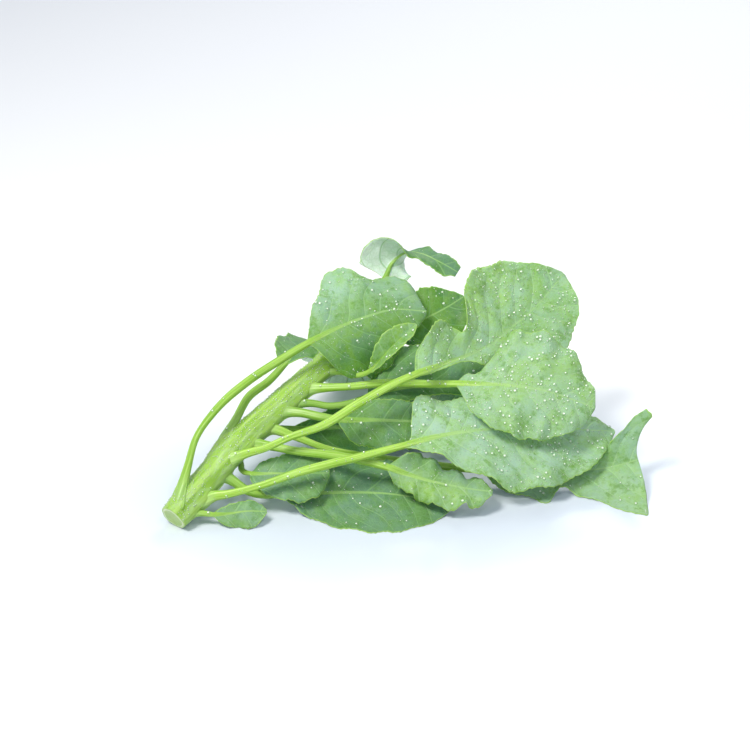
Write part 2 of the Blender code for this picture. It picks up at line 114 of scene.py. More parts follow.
def new_material(name):
    """An empty material with its output node, and the tree to fill."""
    made = bpy.data.materials.new(name)
    made.use_nodes = True
    made.node_tree.nodes.clear()
    return made, made.node_tree, made.node_tree.nodes.new("ShaderNodeOutputMaterial")


def through(knots, values, at):
    """A smooth curve through values at knots, read at the given places."""
    knots = np.asarray(knots, float)
    values = np.asarray(values, float)
    at = np.atleast_1d(np.asarray(at, float))
    steps = np.diff(knots)
    wide = values.reshape(len(knots), -1)
    slopes = np.diff(wide, axis=0) / steps[:, None]
    tangents = np.empty_like(wide)
    tangents[0], tangents[-1] = slopes[0], slopes[-1]
    share = (steps[:-1] / (steps[:-1] + steps[1:]))[:, None]
    tangents[1:-1] = slopes[:-1] * (1 - share) + slopes[1:] * share
    i = np.clip(np.searchsorted(knots, at, side="right") - 1, 0, len(knots) - 2)
    h = steps[i][:, None]
    t = np.clip(((at - knots[i]) / steps[i])[:, None], 0, 1)
    found = (
        wide[i] * (1 + 2 * t) * (1 - t) ** 2
        + tangents[i] * h * t * (1 - t) ** 2
        + wide[i + 1] * t * t * (3 - 2 * t)
        - tangents[i + 1] * h * t * t * (1 - t)
    )
    return found.reshape((len(at),) + values.shape[1:])


def lengths_along(points):
    """The distance of each point from the first, along the line that joins them."""
    steps = np.linalg.norm(np.diff(np.asarray(points, float), axis=0), axis=1)
    return np.concatenate([[0.0], np.cumsum(steps)])


def unit(vectors):
    return vectors / np.linalg.norm(vectors, axis=-1, keepdims=True)


def ease(x):
    """0 below 0, 1 above 1, and smooth between."""
    x = np.clip(x, 0.0, 1.0)
    return x * x * (3 - 2 * x)


def finished_piece(name, vertices, faces, material, numbers):
    """A smooth mesh piece from points in millimetres, which carry the given numbers or vectors by name."""
    mesh = bpy.data.meshes.new(name)
    mesh.from_pydata((vertices - FOOTPRINT_MIDDLE) * MM, [], faces)
    for label, values in numbers.items():
        kind, part = ("FLOAT", "value") if np.ndim(values) == 1 else ("FLOAT_VECTOR", "vector")
        attribute = mesh.attributes.new(label, kind, "POINT")
        attribute.data.foreach_set(part, np.asarray(values, np.float32).ravel())
    mesh.shade_smooth()
    mesh.materials.append(material)
    made = bpy.data.objects.new(name, mesh)
    bpy.context.scene.collection.objects.link(made)
    return made


def stem_shape():
    """The stem's points and faces, the numbers that its material reads, its middle line and its radius."""
    knots = lengths_along(STEM_AXIS)
    length = knots[-1]
    along = np.linspace(0, length, STEM_RINGS)
    axis = through(knots, STEM_AXIS, along)
    ahead = unit(np.gradient(axis, axis=0))
    side = unit(np.cross(ahead, (0.0, 0.0, 1.0)))
    over = np.cross(side, ahead)
    shares, radii = zip(*STEM_RADIUS)
    plain_radius = through(shares, radii, along / length)
    radius = plain_radius
    turn = np.linspace(0, 2 * math.pi, STEM_SIDES, endpoint=False)
    bases = np.zeros((STEM_RINGS, STEM_SIDES))
    sheaths = np.zeros((STEM_RINGS, STEM_SIDES))
    for root, outside in LEAF_ROOTS:
        nearest = np.linalg.norm(axis - root, axis=1).argmin()
        gap = along - along[nearest]
        radius = radius + NODE_SWELLING * np.exp(-((gap / NODE_REACH) ** 2))
        aside = np.subtract(outside, root)
        off = turn - math.atan2(aside @ over[nearest], aside @ side[nearest])
        off = (off + math.pi) % (2 * math.pi) - math.pi
        gap = gap + LEAF_BASE_DROP
        run = np.exp(-((gap / np.where(gap < 0, LEAF_BASE_BELOW, LEAF_BASE_ABOVE)) ** 2))[:, None]
        height = LEAF_BASE_HEIGHT * plain_radius[nearest] / SKIN_RADIUS
        bases = np.maximum(bases, height * run * np.exp(-((off / LEAF_BASE_ANGLE) ** 2)))
        beside = np.exp(-(((np.abs(off) - 0.2 - 0.7 * run) / SHEATH_LINE_ANGLE) ** 2))
        sheaths = np.maximum(sheaths, beside * (run > 0.15) * np.minimum(run * 2, 1))
    ribs = sum(height * np.cos(count * turn + twist * along[:, None]) for height, count, twist in RIBS)
    ribbed = radius[:, None] + ribs * (radius / radius.max())[:, None] + bases

    # The cut end: rings from its middle out, where the pith has dried a little lower than the fibres.
    shares_out = np.linspace(0, 1, CUT_RINGS + 1)[:-1, None]
    sunk = PITH_DEPTH * np.exp(-((shares_out / 0.55) ** 4))
    sunk = sunk - FIBRE_RING_HEIGHT * np.exp(-(((shares_out - 0.8) / 0.07) ** 2))
    outward = side[:, None, :] * np.cos(turn)[:, None] + over[:, None, :] * np.sin(turn)[:, None]
    cut = (axis[0] + ahead[0] * sunk)[:, None, :] + outward[0] * (ribbed[0] * shares_out)[:, :, None]
    round_skin = axis[:, None, :] + outward * ribbed[:, :, None]
    tip = np.broadcast_to(axis[-1] + ahead[-1] * radius[-1], (1, STEM_SIDES, 3))
    points = np.concatenate([cut, round_skin, tip]).reshape(-1, 3)
    points[:, 2] = np.maximum(points[:, 2], 0.0)
    a = np.arange(STEM_SIDES) + STEM_SIDES * np.arange(CUT_RINGS + STEM_RINGS)[:, None]
    b = np.roll(a, -1, axis=1)
    faces = np.stack([a, a + STEM_SIDES, b + STEM_SIDES, b], axis=2).reshape(-1, 4).tolist()

    # The share of the way out on the cut face is 1 on its rim, and 2 marks the skin.
    out_share = np.concatenate([shares_out[:, 0], [1.0], np.full(STEM_RINGS, 2.0)])
    skin = np.zeros((len(out_share), STEM_SIDES, 3))
    skin[:, :, 0] = SKIN_RADIUS * np.cos(turn)
    skin[:, :, 1] = SKIN_RADIUS * np.sin(turn)
    skin[:, :, 2] = np.concatenate([np.zeros(CUT_RINGS), along, [length]])[:, None]
    sheath = np.zeros((len(out_share), STEM_SIDES))
    sheath[CUT_RINGS:-1] = sheaths
    out_share = np.repeat(out_share, STEM_SIDES)
    numbers = {"skin": skin.reshape(-1, 3), "out_share": out_share, "sheath": sheath.ravel()}
    return points, faces, numbers, axis, plain_radius


stem_points, stem_faces, stem_numbers, stem_line, stem_radius = stem_shape()

# Fresh stem skin: living plant tissue under a thin wax, which gives a soft, wet-looking half gloss. Light
# enters it and comes out yellower. Its fibres show as paler and deeper streaks 1 to 3 mm wide along the stem.
stem_skin, tree, output = new_material("fresh stem skin")
skin = add(tree, "ShaderNodeAttribute", attribute_name="skin").outputs["Vector"]
out_share = add(tree, "ShaderNodeAttribute", attribute_name="out_share").outputs["Fac"]
sheath = add(tree, "ShaderNodeAttribute", attribute_name="sheath").outputs["Fac"]
stretched = add(tree, "ShaderNodeMapping", {"Vector": skin, "Scale": (0.42, 0.42, 0.018)}).outputs[0]
streaks = {"Vector": stretched, "Scale": 1.0, "Detail": 4.0, "Roughness": 0.62}
streaks = add(tree, "ShaderNodeTexNoise", streaks).outputs[0]
streaks = add(tree, "ShaderNodeMapRange", {0: streaks, 1: 0.36, 2: 0.66}, **SMOOTH).outputs[0]
patches = add(tree, "ShaderNodeTexNoise", {"Vector": skin, "Scale": 0.09, "Detail": 2.0}).outputs[0]
patches = add(tree, "ShaderNodeMapRange", {0: patches, 1: 0.42, 2: 0.66, 4: 0.5}, **SMOOTH).outputs[0]
# Two pale lines run down beside each leaf's base. The stem's underside is painted bluish white as painted
# light bounced up from the table.
painted_bounce_underside = add(tree, "ShaderNodeSeparateXYZ", {0: skin}).outputs["Y"]
painted_bounce_underside = add(tree, "ShaderNodeMapRange", {0: painted_bounce_underside, 1: -3.0, 2: -7.0, 3: 0.0, 4: 0.6}, **SMOOTH).outputs[0]
sheath_lines_and_painted_bounce = add(tree, "ShaderNodeMath", {0: sheath, 1: 0.2}, operation="MULTIPLY").outputs[0]
sheath_lines_and_painted_bounce = add(tree, "ShaderNodeMath", {0: sheath_lines_and_painted_bounce, 1: painted_bounce_underside}, operation="MAXIMUM").outputs[0]
colour = {0: streaks, 6: linear("#8AB73C"), 7: linear("#B0D46C")}
colour = add(tree, "ShaderNodeMix", colour, **RGBA).outputs[2]
for share, tint in ((patches, "#9CC84A"), (sheath_lines_and_painted_bounce, "#CFE7CB")):
    colour = add(tree, "ShaderNodeMix", {0: share, 6: colour, 7: linear(tint)}, **RGBA).outputs[2]
# The cut face is paler, wet pith inside a ring of white fibres, which is a tenth of the radius wide.
pith = add(tree, "ShaderNodeTexNoise", {"Vector": skin, "Scale": 1.6, "Detail": 3.0}).outputs[0]
pith = add(tree, "ShaderNodeMix", {0: pith, 6: linear("#9FC25C"), 7: linear("#BFD98C")}, **RGBA).outputs[2]
off_ring = add(tree, "ShaderNodeMath", {0: out_share, 1: 0.84}, operation="SUBTRACT").outputs[0]
off_ring = add(tree, "ShaderNodeMath", {0: off_ring}, operation="ABSOLUTE").outputs[0]
ring = add(tree, "ShaderNodeMapRange", {0: off_ring, 1: 0.02, 2: 0.09, 3: 0.75, 4: 0.0}, **SMOOTH).outputs[0]
pith = add(tree, "ShaderNodeMix", {0: ring, 6: pith, 7: linear("#EAF5CC")}, **RGBA).outputs[2]
on_cut = add(tree, "ShaderNodeMapRange", {0: out_share, 1: 0.97, 2: 1.02, 3: 1.0, 4: 0.0}).outputs[0]
colour = add(tree, "ShaderNodeMix", {0: on_cut, 6: colour, 7: pith}, **RGBA).outputs[2]
gloss = add(tree, "ShaderNodeMapRange", {0: streaks, 3: 0.3, 4: 0.42}).outputs[0]
relief = add(tree, "ShaderNodeBump", {"Strength": 0.25, "Distance": 0.0004, "Height": streaks}).outputs[0]
shader = add(tree, "ShaderNodeBsdfPrincipled", {
    "Base Color": colour, "Roughness": gloss, "Normal": relief, "IOR": 1.42,
    "Subsurface Weight": 0.25, "Subsurface Radius": (0.6, 1.0, 0.25), "Subsurface Scale": 0.003,
    "Coat Weight": 0.25, "Coat Roughness": 0.25,
})
tree.links.new(shader.outputs[0], output.inputs[0])

stem = finished_piece("kale_stem", stem_points, stem_faces, stem_skin, stem_numbers)
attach(stem, "root")
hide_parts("stem")


# The leaves
# Each leaf grew as one piece: a juicy petiole that runs on as the midrib of a thin, waxy, wavy-edged blade.
# Side veins leave the midrib forwards, and the blade swells a little between them.

BLADE_THICKNESS = 0.55
ROW_STEP = 0.85
STALK_STEP = 2.0
COLUMN_STEP = 1.25
MOST_COLUMNS = 34
RIB_COLUMNS = 5
ROOT_RADIUS = 4.7
ROOT_SPREAD = 1.35
ROOT_LENGTH = 20.0
ROOT_FLARE = 0.22
PETIOLE_RADIUS = 2.7
BLADE_BASE_RADIUS = 2.2
MIDRIB_QUARTER_RADIUS = 1.35
MIDRIB_MIDDLE_RADIUS = 0.75
MIDRIB_TIP_RADIUS = 0.3
MIDRIB_GROOVE = 0.14
TABLE_EASE = 2.0
# How far the margin swings, as a share of the blade's width, and the heights of what ruffles a blade.
MARGIN_WOBBLE = 0.035
TOOTH_HEIGHT = 0.32
SMALL_TOOTH_HEIGHT = 0.2
QUILT_HEIGHT = 0.65
CRUMPLE_HEIGHT = 0.45
ROLL_HEIGHT = 0.9
VEIN_GAP = 13.5
VEIN_SLANT = 0.7
VEIN_CURL = 0.006
VEIN_CORD = 0.3


def leaf_line(petiole, midrib, faces_up, thin):
    """The line down a leaf's middle, with its directions, its thickness and its distance off the stem."""
    # The petiole's foot runs up under the stem's skin before it turns out of it.
    nearest = np.linalg.norm(stem_line - petiole[0], axis=1).argmin()
    upwards = unit(stem_line[nearest + 1] - stem_line[nearest - 1])
    aside = np.subtract(petiole[1], petiole[0])
    aside = unit(aside - upwards * (aside @ upwards))
    foot_radius = stem_radius[nearest]
    sunk = min(2.1 * foot_radius, lengths_along(stem_line)[nearest] - 5)
    inside = petiole[0] - upwards * sunk + aside * 0.25 * foot_radius
    skin = petiole[0] - upwards * 0.75 * foot_radius + aside * 0.9 * foot_radius
    turn = 0.5 * np.array(petiole[1], float) + 0.25 * (skin + petiole[2])
    path = np.array([inside, skin, turn, *petiole[2:], *midrib[1:]], float)
    knots = lengths_along(path)
    base = knots[len(petiole)]
    blade = knots[-1] - base
    stalk = np.linspace(0, base, max(int(base / STALK_STEP), 8), endpoint=False)
    share = np.linspace(0, 1, max(int(blade / ROW_STEP), 30))
    along = np.concatenate([stalk, base + blade * share])
    share = np.concatenate([np.zeros(len(stalk)), share])
    spine = through(knots, path, along)
    ahead = unit(np.gradient(spine, along, axis=0))
    up_knots = np.concatenate([[0.0], base + blade * np.linspace(0, 1, len(faces_up) - 1)])
    up = through(up_knots, faces_up, along)
    up = unit(up - ahead * (up * ahead).sum(1, keepdims=True))

    # The rib is thickest at its root, where it flares to meet the stem, and thins to the leaf's tip.
    root_end = min(ROOT_LENGTH, 0.5 * base)
    rib_knots = (0.0, root_end, root_end + 0.6 * (base - root_end), base,
                 base + blade * 0.2, base + blade * 0.5, knots[-1])
    rib_radii = (
        ROOT_RADIUS, PETIOLE_RADIUS * 1.08, PETIOLE_RADIUS, BLADE_BASE_RADIUS,
        MIDRIB_QUARTER_RADIUS, MIDRIB_MIDDLE_RADIUS, MIDRIB_TIP_RADIUS,
    )
    rib = through(rib_knots, np.array(rib_radii) * thin, along)
    to_axis = np.linalg.norm(spine[:, None, :] - stem_line[None, :, :], axis=2)
    off_stem = to_axis.min(axis=1) - stem_radius[to_axis.argmin(axis=1)]
    rib = rib * (1 + ROOT_FLARE * np.exp(-np.maximum(off_stem, 0) / 3) * (share == 0))
    stalk_width = rib * (1 + (ROOT_SPREAD - 1) * (1 - ease(along / root_end)))
    showing = np.maximum.accumulate(off_stem > -0.8 * foot_radius)
    return SimpleNamespace(
        share=share, on_blade=along - base, points=spine, ahead=ahead, up=up, right=np.cross(ahead, up),
        rib=rib, stalk_width=stalk_width, off_stem=off_stem, showing=showing,
    )


def leaf_surface(petiole, midrib, faces_up, outline, bend, wave, lean=((0, 0), (0, 0)), thin=1.0, ruffle=0.3):
    """The leaf's middle surface, how far its faces stand off it, and the numbers that its material reads."""
    line = leaf_line(petiole, midrib, faces_up, thin)
    share, on_blade, rib = line.share, line.on_blade, line.rib
    shares, left_width, right_width = zip(*outline)
    columns = int(np.clip(max(left_width + right_width) / COLUMN_STEP, 12, MOST_COLUMNS))
    draw = random.Random(wave[2])
    phases = [draw.uniform(0, 2 * math.pi) for _ in range(6)]
    more = [draw.uniform(0, 2 * math.pi) for _ in range(8)]
    started = ease(share / 0.08)
    halves = []
    for sign, widths, first_phase in ((-1, left_width, 0), (1, right_width, 3)):
        width = np.maximum(through(shares, widths, share), 0.3)
        wobble = np.sin(2 * math.pi * 5 * share + phases[first_phase]) * MARGIN_WOBBLE * started
        teeth = np.sin(on_blade * 1.35 + 1.6 * np.sin(on_blade * 0.31 + more[0] * sign)) * TOOTH_HEIGHT
        teeth = teeth + SMALL_TOOTH_HEIGHT * np.sin(on_blade * 2.3 + more[1] * sign)
        teeth = teeth * started * np.minimum(1, width / 10)
        width = np.where(share > 0, np.maximum(width * (1 + wobble) + teeth, rib * 0.7), line.stalk_width)
        near = np.minimum(rib, 0.4 * width)
        inner = np.linspace(0, 1, RIB_COLUMNS)
        outer = np.linspace(0, 1, columns - RIB_COLUMNS + 2)[1:]
        c = np.hstack([near[:, None] * inner, near[:, None] + (width - near)[:, None] * outer])
        rounded = width[:, None] * np.sin(np.linspace(0, math.pi / 2, c.shape[1]))
        c = np.where(share[:, None] > 0, c, rounded)
        t = c / width[:, None]
        which = 0 if sign < 0 else 1
        angles = np.radians([[station[which * 2], station[which * 2 + 1]] for station in bend])
        angles = through(np.linspace(0, 1, len(bend)), angles, share) * started[:, None]
        fold, curl = angles[:, :1], angles[:, 1:]
        curl = np.where(np.abs(curl) < 1e-3, 1e-3, curl)
        radius = width[:, None] / curl
        out = radius * (np.sin(fold + curl * t) - np.sin(fold))
        lift = radius * (np.cos(fold) - np.cos(fold + curl * t))
        swing = np.sin(2 * math.pi * wave[1] * share + phases[first_phase + 1])
        swing += 0.25 * np.sin(2 * math.pi * wave[1] * 1.7 * share + phases[first_phase + 2])
        lift += wave[0] * t**2 * (swing * started * np.minimum(1, width / 12))[:, None]

        # Side veins are at the whole numbers of this count, and curl forwards from the midrib.
        y = on_blade[:, None]
        count = y - VEIN_SLANT * c - VEIN_CURL * c**2
        count = count + np.sin(c * 0.23 + y * 0.05 + more[2] * sign)
        count = count + 3.2 * np.sin(y * 0.11 + c * 0.03 + more[3] * sign)
        count = count / VEIN_GAP + 0.27 * sign + 0.5
        slant = VEIN_SLANT + 2 * VEIN_CURL * c
        off_vein = np.abs((count + 0.5) % 1 - 0.5) * VEIN_GAP / np.sqrt(1 + slant**2)
        quilt = QUILT_HEIGHT * (1 - np.exp(-((off_vein / 2.0) ** 2))) * np.minimum(1, c / 7) * (1 - t**6)
        crumple = CRUMPLE_HEIGHT * np.sin(0.36 * y + 0.2 * c + more[3]) * np.sin(0.3 * c - 0.12 * y)
        roll = ROLL_HEIGHT * np.sin(y * 0.19 + c * 0.07 * sign + more[7]) * np.sin(c * 0.13 + y * 0.05)
        fringe = np.sin(y * 0.86 + 1.3 * np.sin(y * 0.17 + more[4] * sign) + more[5] * sign)
        fringe = ruffle * fringe * (0.65 + 0.35 * np.sin(y * 0.29 + more[6]))
        fringe = fringe * np.minimum(1, width / 10)[:, None]
        lift += (quilt + (crumple + roll) * t + fringe * t**8) * started[:, None] * thin
        swept = through(np.linspace(0, 1, len(lean)), [pair[which] for pair in lean], share)
        swept = (swept * width * started)[:, None] * t**2
        half = (
            line.points[:, None, :]
            + line.right[:, None, :] * (sign * out)[:, :, None]
            + line.up[:, None, :] * lift[:, :, None]
            + line.ahead[:, None, :] * swept[:, :, None]
        )
        numbers = np.stack([c * sign, count, width[:, None] - c, c - rib[:, None]], axis=2)
        halves.append((half, c, numbers))
    grid, off_rib, numbers = (
        np.concatenate([left[:, :0:-1], right], axis=1) for left, right in zip(*halves)
    )

    # A blade that would dip into the table eases down to lie on it.
    height = grid[:, :, 2]
    eased = TABLE_EASE * np.exp(np.minimum(height / TABLE_EASE - 1, 0))
    grid[:, :, 2] = np.where((height < TABLE_EASE) & (share > 0)[:, None], eased, height)

    # The rib is grooved above and round below, and cords of side veins stand out below the blade.
    across, vein, rim, past_rib = np.moveaxis(numbers, 2, 0)
    round_part = np.sqrt(np.maximum(rib[:, None] ** 2 - off_rib**2, 0.0))
    groove = 1 - MIDRIB_GROOVE * np.exp(-((off_rib / (0.4 * rib[:, None])) ** 2))
    edge = BLADE_THICKNESS / 2 * (1 - 0.45 * np.exp(-np.maximum(rim, 0) / 0.5))
    above = np.maximum(edge, round_part * groove * (0.8 - 0.5 * ease(share / 0.25))[:, None])
    off_vein = np.abs((vein + 0.5) % 1 - 0.5) * VEIN_GAP * 0.75
    cord = VEIN_CORD * np.exp(-((off_vein / 0.55) ** 2)) * (1 - np.minimum(off_rib / 36, 1))
    cord = cord * (share > 0.01)[:, None]
    below = np.maximum(edge + cord, round_part * (0.95 + 0.9 * ease(share / 0.3))[:, None])
    along = np.broadcast_to(on_blade[:, None], off_rib.shape)
    foot = np.broadcast_to(line.off_stem[:, None], off_rib.shape)
    table = {"along": along, "across": across, "vein": vein, "rim": rim, "rib": past_rib, "foot": foot}
    keep = line.showing
    return grid[keep], above[keep], below[keep], {name: values[keep] for name, values in table.items()}


def leaf_skin(grid, above, below):
    """Points and faces of the closed skin round the middle surface, lying no lower than the table."""
    normal = unit(np.cross(np.gradient(grid, axis=1), np.gradient(grid, axis=0)))
    top = grid + normal * above[:, :, None]
    bottom = grid - normal * below[:, :, None]
    for lower, upper in ((bottom, top), (top, bottom)):
        pressed = lower[:, :, 2] < 0.02
        lower[pressed, 2] = 0.02
        upper[pressed, 2] = np.maximum(upper[pressed, 2], BLADE_THICKNESS)
    rows, columns = grid.shape[:2]
    under = rows * columns
    r, c = np.meshgrid(np.arange(rows - 1), np.arange(columns - 1), indexing="ij")
    a = (r * columns + c).ravel()
    b, d, e = a + 1, a + columns, a + columns + 1
    faces = np.stack([a, b, e, d], axis=1).tolist()
    faces += np.stack([under + a, under + d, under + e, under + b], axis=1).tolist()
    for row in range(rows - 1):
        left, right = row * columns, row * columns + columns - 1
        faces.append((left, left + columns, under + left + columns, under + left))
        faces.append((right, under + right, under + right + columns, right + columns))
    for column in range(columns - 1):
        last = (rows - 1) * columns + column
        faces.append((column, under + column, under + column + 1, column + 1))
        faces.append((last, last + 1, under + last + 1, under + last))
    return np.vstack([top.reshape(-1, 3), bottom.reshape(-1, 3)]), faces


# Fresh kale leaf: green tissue half a millimetre thick, which lets some light through, under a wax that
# scatters light and gives a bluish, matt bloom. Where the wax is rubbed or wet, the leaf shows yellower.
# Its net of veins has meshes of about 4 mm, and its side veins are pale lines that thin from 1.2 to 0.3 mm.
leaf_tissue, tree, output = new_material("waxy kale leaf")
place = add(tree, "ShaderNodeTexCoord").outputs["Object"]
along, across, vein, rim, rib, foot, under, deep_green_and_shade, yellow = (
    add(tree, "ShaderNodeAttribute", attribute_name=name).outputs["Fac"]
    for name in ("along", "across", "vein", "rim", "rib", "foot", "under", "deep_green_and_shade", "yellow")
)
# The patches on a blade: where yellow shows, the bluish bloom, rubbed wax, and broad random patches of
# painted shade.
patches = []
for scale, detail, roughness, lowest, highest, least, most in (
    (62.0, 5.0, 0.66, 0.42, 0.58, 0.4, 1.35), (55.0, 6.0, 0.68, 0.42, 0.6, 0.0, 1.0),
    (95.0, 6.0, 0.7, 0.52, 0.62, 0.0, 0.7), (26.0, 3.0, 0.55, 0.46, 0.66, 0.0, 0.4),
):
    noise = {"Vector": place, "Scale": scale, "Detail": detail, "Roughness": roughness}
    noise = add(tree, "ShaderNodeTexNoise", noise).outputs[0]
    spans = {0: noise, 1: lowest, 2: highest, 3: least, 4: most}
    patches.append(add(tree, "ShaderNodeMapRange", spans, **SMOOTH).outputs[0])
mottled, bloom, rubbed, broad_painted_shade = patches
yellow = add(tree, "ShaderNodeMath", {0: mottled, 1: yellow}, operation="MULTIPLY", use_clamp=True).outputs[0]
near_rim = add(tree, "ShaderNodeMapRange", {0: rim, 1: 0.0, 2: 14.0, 3: 0.7, 4: 0.0}, **SMOOTH).outputs[0]
rubbed_more = add(tree, "ShaderNodeMapRange", {0: rubbed, 3: 0.3, 4: 1.0}).outputs[0]
near_rim = add(tree, "ShaderNodeMath", {0: near_rim, 1: rubbed_more}, operation="MULTIPLY").outputs[0]
grain = add(tree, "ShaderNodeTexNoise", {"Vector": place, "Scale": 420.0, "Detail": 3.0}).outputs[0]
grain = add(tree, "ShaderNodeMapRange", {0: grain, 1: 0.42, 2: 0.68, 3: 0.0, 4: 0.55}).outputs[0]
blade = add(tree, "ShaderNodeMix", {0: bloom, 6: linear("#A6C8B2"), 7: linear("#9BC482")}, **RGBA).outputs[2]
for share, tint in (
    (yellow, "#9CC75C"), (rubbed, "#6A9B30"), (broad_painted_shade, "#74A552"), (near_rim, "#6F9F2C"), (grain, "#A9CDA6"),
):
    blade = add(tree, "ShaderNodeMix", {0: share, 6: blade, 7: linear(tint)}, **RGBA).outputs[2]
# Older leaves are a deeper green of their own, and leaves lying in the shade of others are painted that
# deeper green as painted shade. Every underside is pale and greyish.
deep = add(tree, "ShaderNodeMix", {0: bloom, 6: linear("#44764F"), 7: linear("#467A32")}, **RGBA).outputs[2]
deep = add(tree, "ShaderNodeMix", {0: yellow, 6: deep, 7: linear("#5C8C26")}, **RGBA).outputs[2]
blade = add(tree, "ShaderNodeMix", {0: deep_green_and_shade, 6: blade, 7: deep}, **RGBA).outputs[2]
pale = add(tree, "ShaderNodeMath", {0: under, 1: 0.95}, operation="MULTIPLY").outputs[0]
blade = add(tree, "ShaderNodeMix", {0: pale, 6: blade, 7: linear("#DCEEDF")}, **RGBA).outputs[2]
# The net of veins is drawn on the blade laid out flat, in millimetres, and warped a little.
flat = add(tree, "ShaderNodeCombineXYZ", {0: along, 1: across}).outputs[0]
warp = add(tree, "ShaderNodeTexNoise", {"Vector": flat, "Scale": 0.35, "Detail": 2.0}).outputs[1]
warped = add(tree, "ShaderNodeVectorMath", {0: warp, 1: (2.2, 2.2, 0.0)}, operation="MULTIPLY").outputs[0]
warped = add(tree, "ShaderNodeVectorMath", {0: flat, 1: warped}, operation="ADD").outputs[0]
net = {"Vector": warped, "Scale": 0.24}
net = add(tree, "ShaderNodeTexVoronoi", net, feature="DISTANCE_TO_EDGE").outputs[0]
net = add(tree, "ShaderNodeMapRange", {0: net, 1: 0.015, 2: 0.08, 3: 0.24, 4: 0.0}, **SMOOTH).outputs[0]
fine = {"Vector": warped, "Scale": 0.75}
fine = add(tree, "ShaderNodeTexVoronoi", fine, feature="DISTANCE_TO_EDGE").outputs[0]
fine = add(tree, "ShaderNodeMapRange", {0: fine, 1: 0.02, 2: 0.12, 3: 0.16, 4: 0.0}).outputs[0]
fine = add(tree, "ShaderNodeMath", {0: net, 1: fine}, operation="MAXIMUM").outputs[0]
off_vein = add(tree, "ShaderNodeMath", {0: vein, 1: 0.5}, operation="ADD").outputs[0]
off_vein = add(tree, "ShaderNodeMath", {0: off_vein}, operation="FRACT").outputs[0]
off_vein = add(tree, "ShaderNodeMath", {0: off_vein, 1: 0.5}, operation="SUBTRACT").outputs[0]
off_vein = add(tree, "ShaderNodeMath", {0: off_vein}, operation="ABSOLUTE").outputs[0]
outward = add(tree, "ShaderNodeMath", {0: across}, operation="ABSOLUTE").outputs[0]
vein_width = add(tree, "ShaderNodeMapRange", {0: outward, 1: 2.0, 2: 38.0, 3: 0.062, 4: 0.016}).outputs[0]
side_vein = add(tree, "ShaderNodeMath", {0: off_vein, 1: vein_width}, operation="DIVIDE").outputs[0]
side_vein = {0: side_vein, 1: 0.4, 2: 1.0, 3: 0.6, 4: 0.0}
side_vein = add(tree, "ShaderNodeMapRange", side_vein, **SMOOTH).outputs[0]
veins = add(tree, "ShaderNodeMath", {0: fine, 1: side_vein}, operation="MAXIMUM").outputs[0]
started = add(tree, "ShaderNodeMapRange", {0: along, 1: 0.0, 2: 3.0}).outputs[0]
veins = add(tree, "ShaderNodeMath", {0: veins, 1: started}, operation="MULTIPLY").outputs[0]
vein_colour = {0: deep_green_and_shade, 6: linear("#B0D698"), 7: linear("#78A965")}
vein_colour = add(tree, "ShaderNodeMix", vein_colour, **RGBA).outputs[2]
blade = add(tree, "ShaderNodeMix", {0: veins, 6: blade, 7: vein_colour}, **RGBA).outputs[2]
edge = add(tree, "ShaderNodeMapRange", {0: rim, 1: 0.2, 2: 0.8, 3: 0.7, 4: 0.0}, **SMOOTH).outputs[0]
blade = add(tree, "ShaderNodeMix", {0: edge, 6: blade, 7: linear("#A6CF58")}, **RGBA).outputs[2]
# The petiole and the midrib are juicier and yellower, with streaks, and pale where they leave the stem.
lengthwise = add(tree, "ShaderNodeCombineXYZ", {0: across, 1: under, 2: along}).outputs[0]
lengthwise = add(tree, "ShaderNodeMapping", {"Vector": lengthwise, "Scale": (1.1, 1.0, 0.03)}).outputs[0]
fibres = add(tree, "ShaderNodeTexNoise", {"Vector": lengthwise, "Scale": 1.0, "Detail": 3.0}).outputs[0]
fibres = add(tree, "ShaderNodeMapRange", {0: fibres, 1: 0.35, 2: 0.65}, **SMOOTH).outputs[0]
stalk = add(tree, "ShaderNodeMix", {0: fibres, 6: linear("#8FBE38"), 7: linear("#BADF6C")}, **RGBA).outputs[2]
faded = add(tree, "ShaderNodeMapRange", {0: along, 1: 0.0, 2: 44.0, 3: 0.0, 4: 0.9}).outputs[0]
by_stem = add(tree, "ShaderNodeMapRange", {0: foot, 1: -1.0, 2: 7.0, 3: 0.6, 4: 0.0}, **SMOOTH).outputs[0]
# The stalks of darker leaves darken too, partly their own colour and partly painted shade.
shaded = add(tree, "ShaderNodeMath", {0: deep_green_and_shade, 1: 0.6}, operation="MULTIPLY").outputs[0]
for share, tint in ((faded, "#A8CE90"), (by_stem, "#B8DA8E"), (shaded, "#6FA03C")):
    stalk = add(tree, "ShaderNodeMix", {0: share, 6: stalk, 7: linear(tint)}, **RGBA).outputs[2]
on_rib = add(tree, "ShaderNodeMapRange", {0: rib, 1: 0.35, 2: -0.25}, **SMOOTH).outputs[0]
on_stalk = add(tree, "ShaderNodeMapRange", {0: along, 1: 0.0, 2: -2.0}).outputs[0]
juicy = add(tree, "ShaderNodeMath", {0: on_rib, 1: on_stalk}, operation="MAXIMUM").outputs[0]
colour = add(tree, "ShaderNodeMix", {0: juicy, 6: blade, 7: stalk}, **RGBA).outputs[2]
dull = add(tree, "ShaderNodeMapRange", {0: bloom, 3: 0.5, 4: 0.4}).outputs[0]
gloss = add(tree, "ShaderNodeMix", {0: juicy, 2: dull, 3: 0.33}, data_type="FLOAT").outputs[0]
dents = add(tree, "ShaderNodeTexNoise", {"Vector": place, "Scale": 260.0, "Detail": 3.0}).outputs[0]
dents = add(tree, "ShaderNodeMath", {0: dents, 1: 0.6}, operation="MULTIPLY").outputs[0]
height = add(tree, "ShaderNodeMath", {0: dents, 1: veins}, operation="SUBTRACT").outputs[0]
relief = add(tree, "ShaderNodeBump", {"Strength": 0.6, "Distance": 0.0005, "Height": height}).outputs[0]
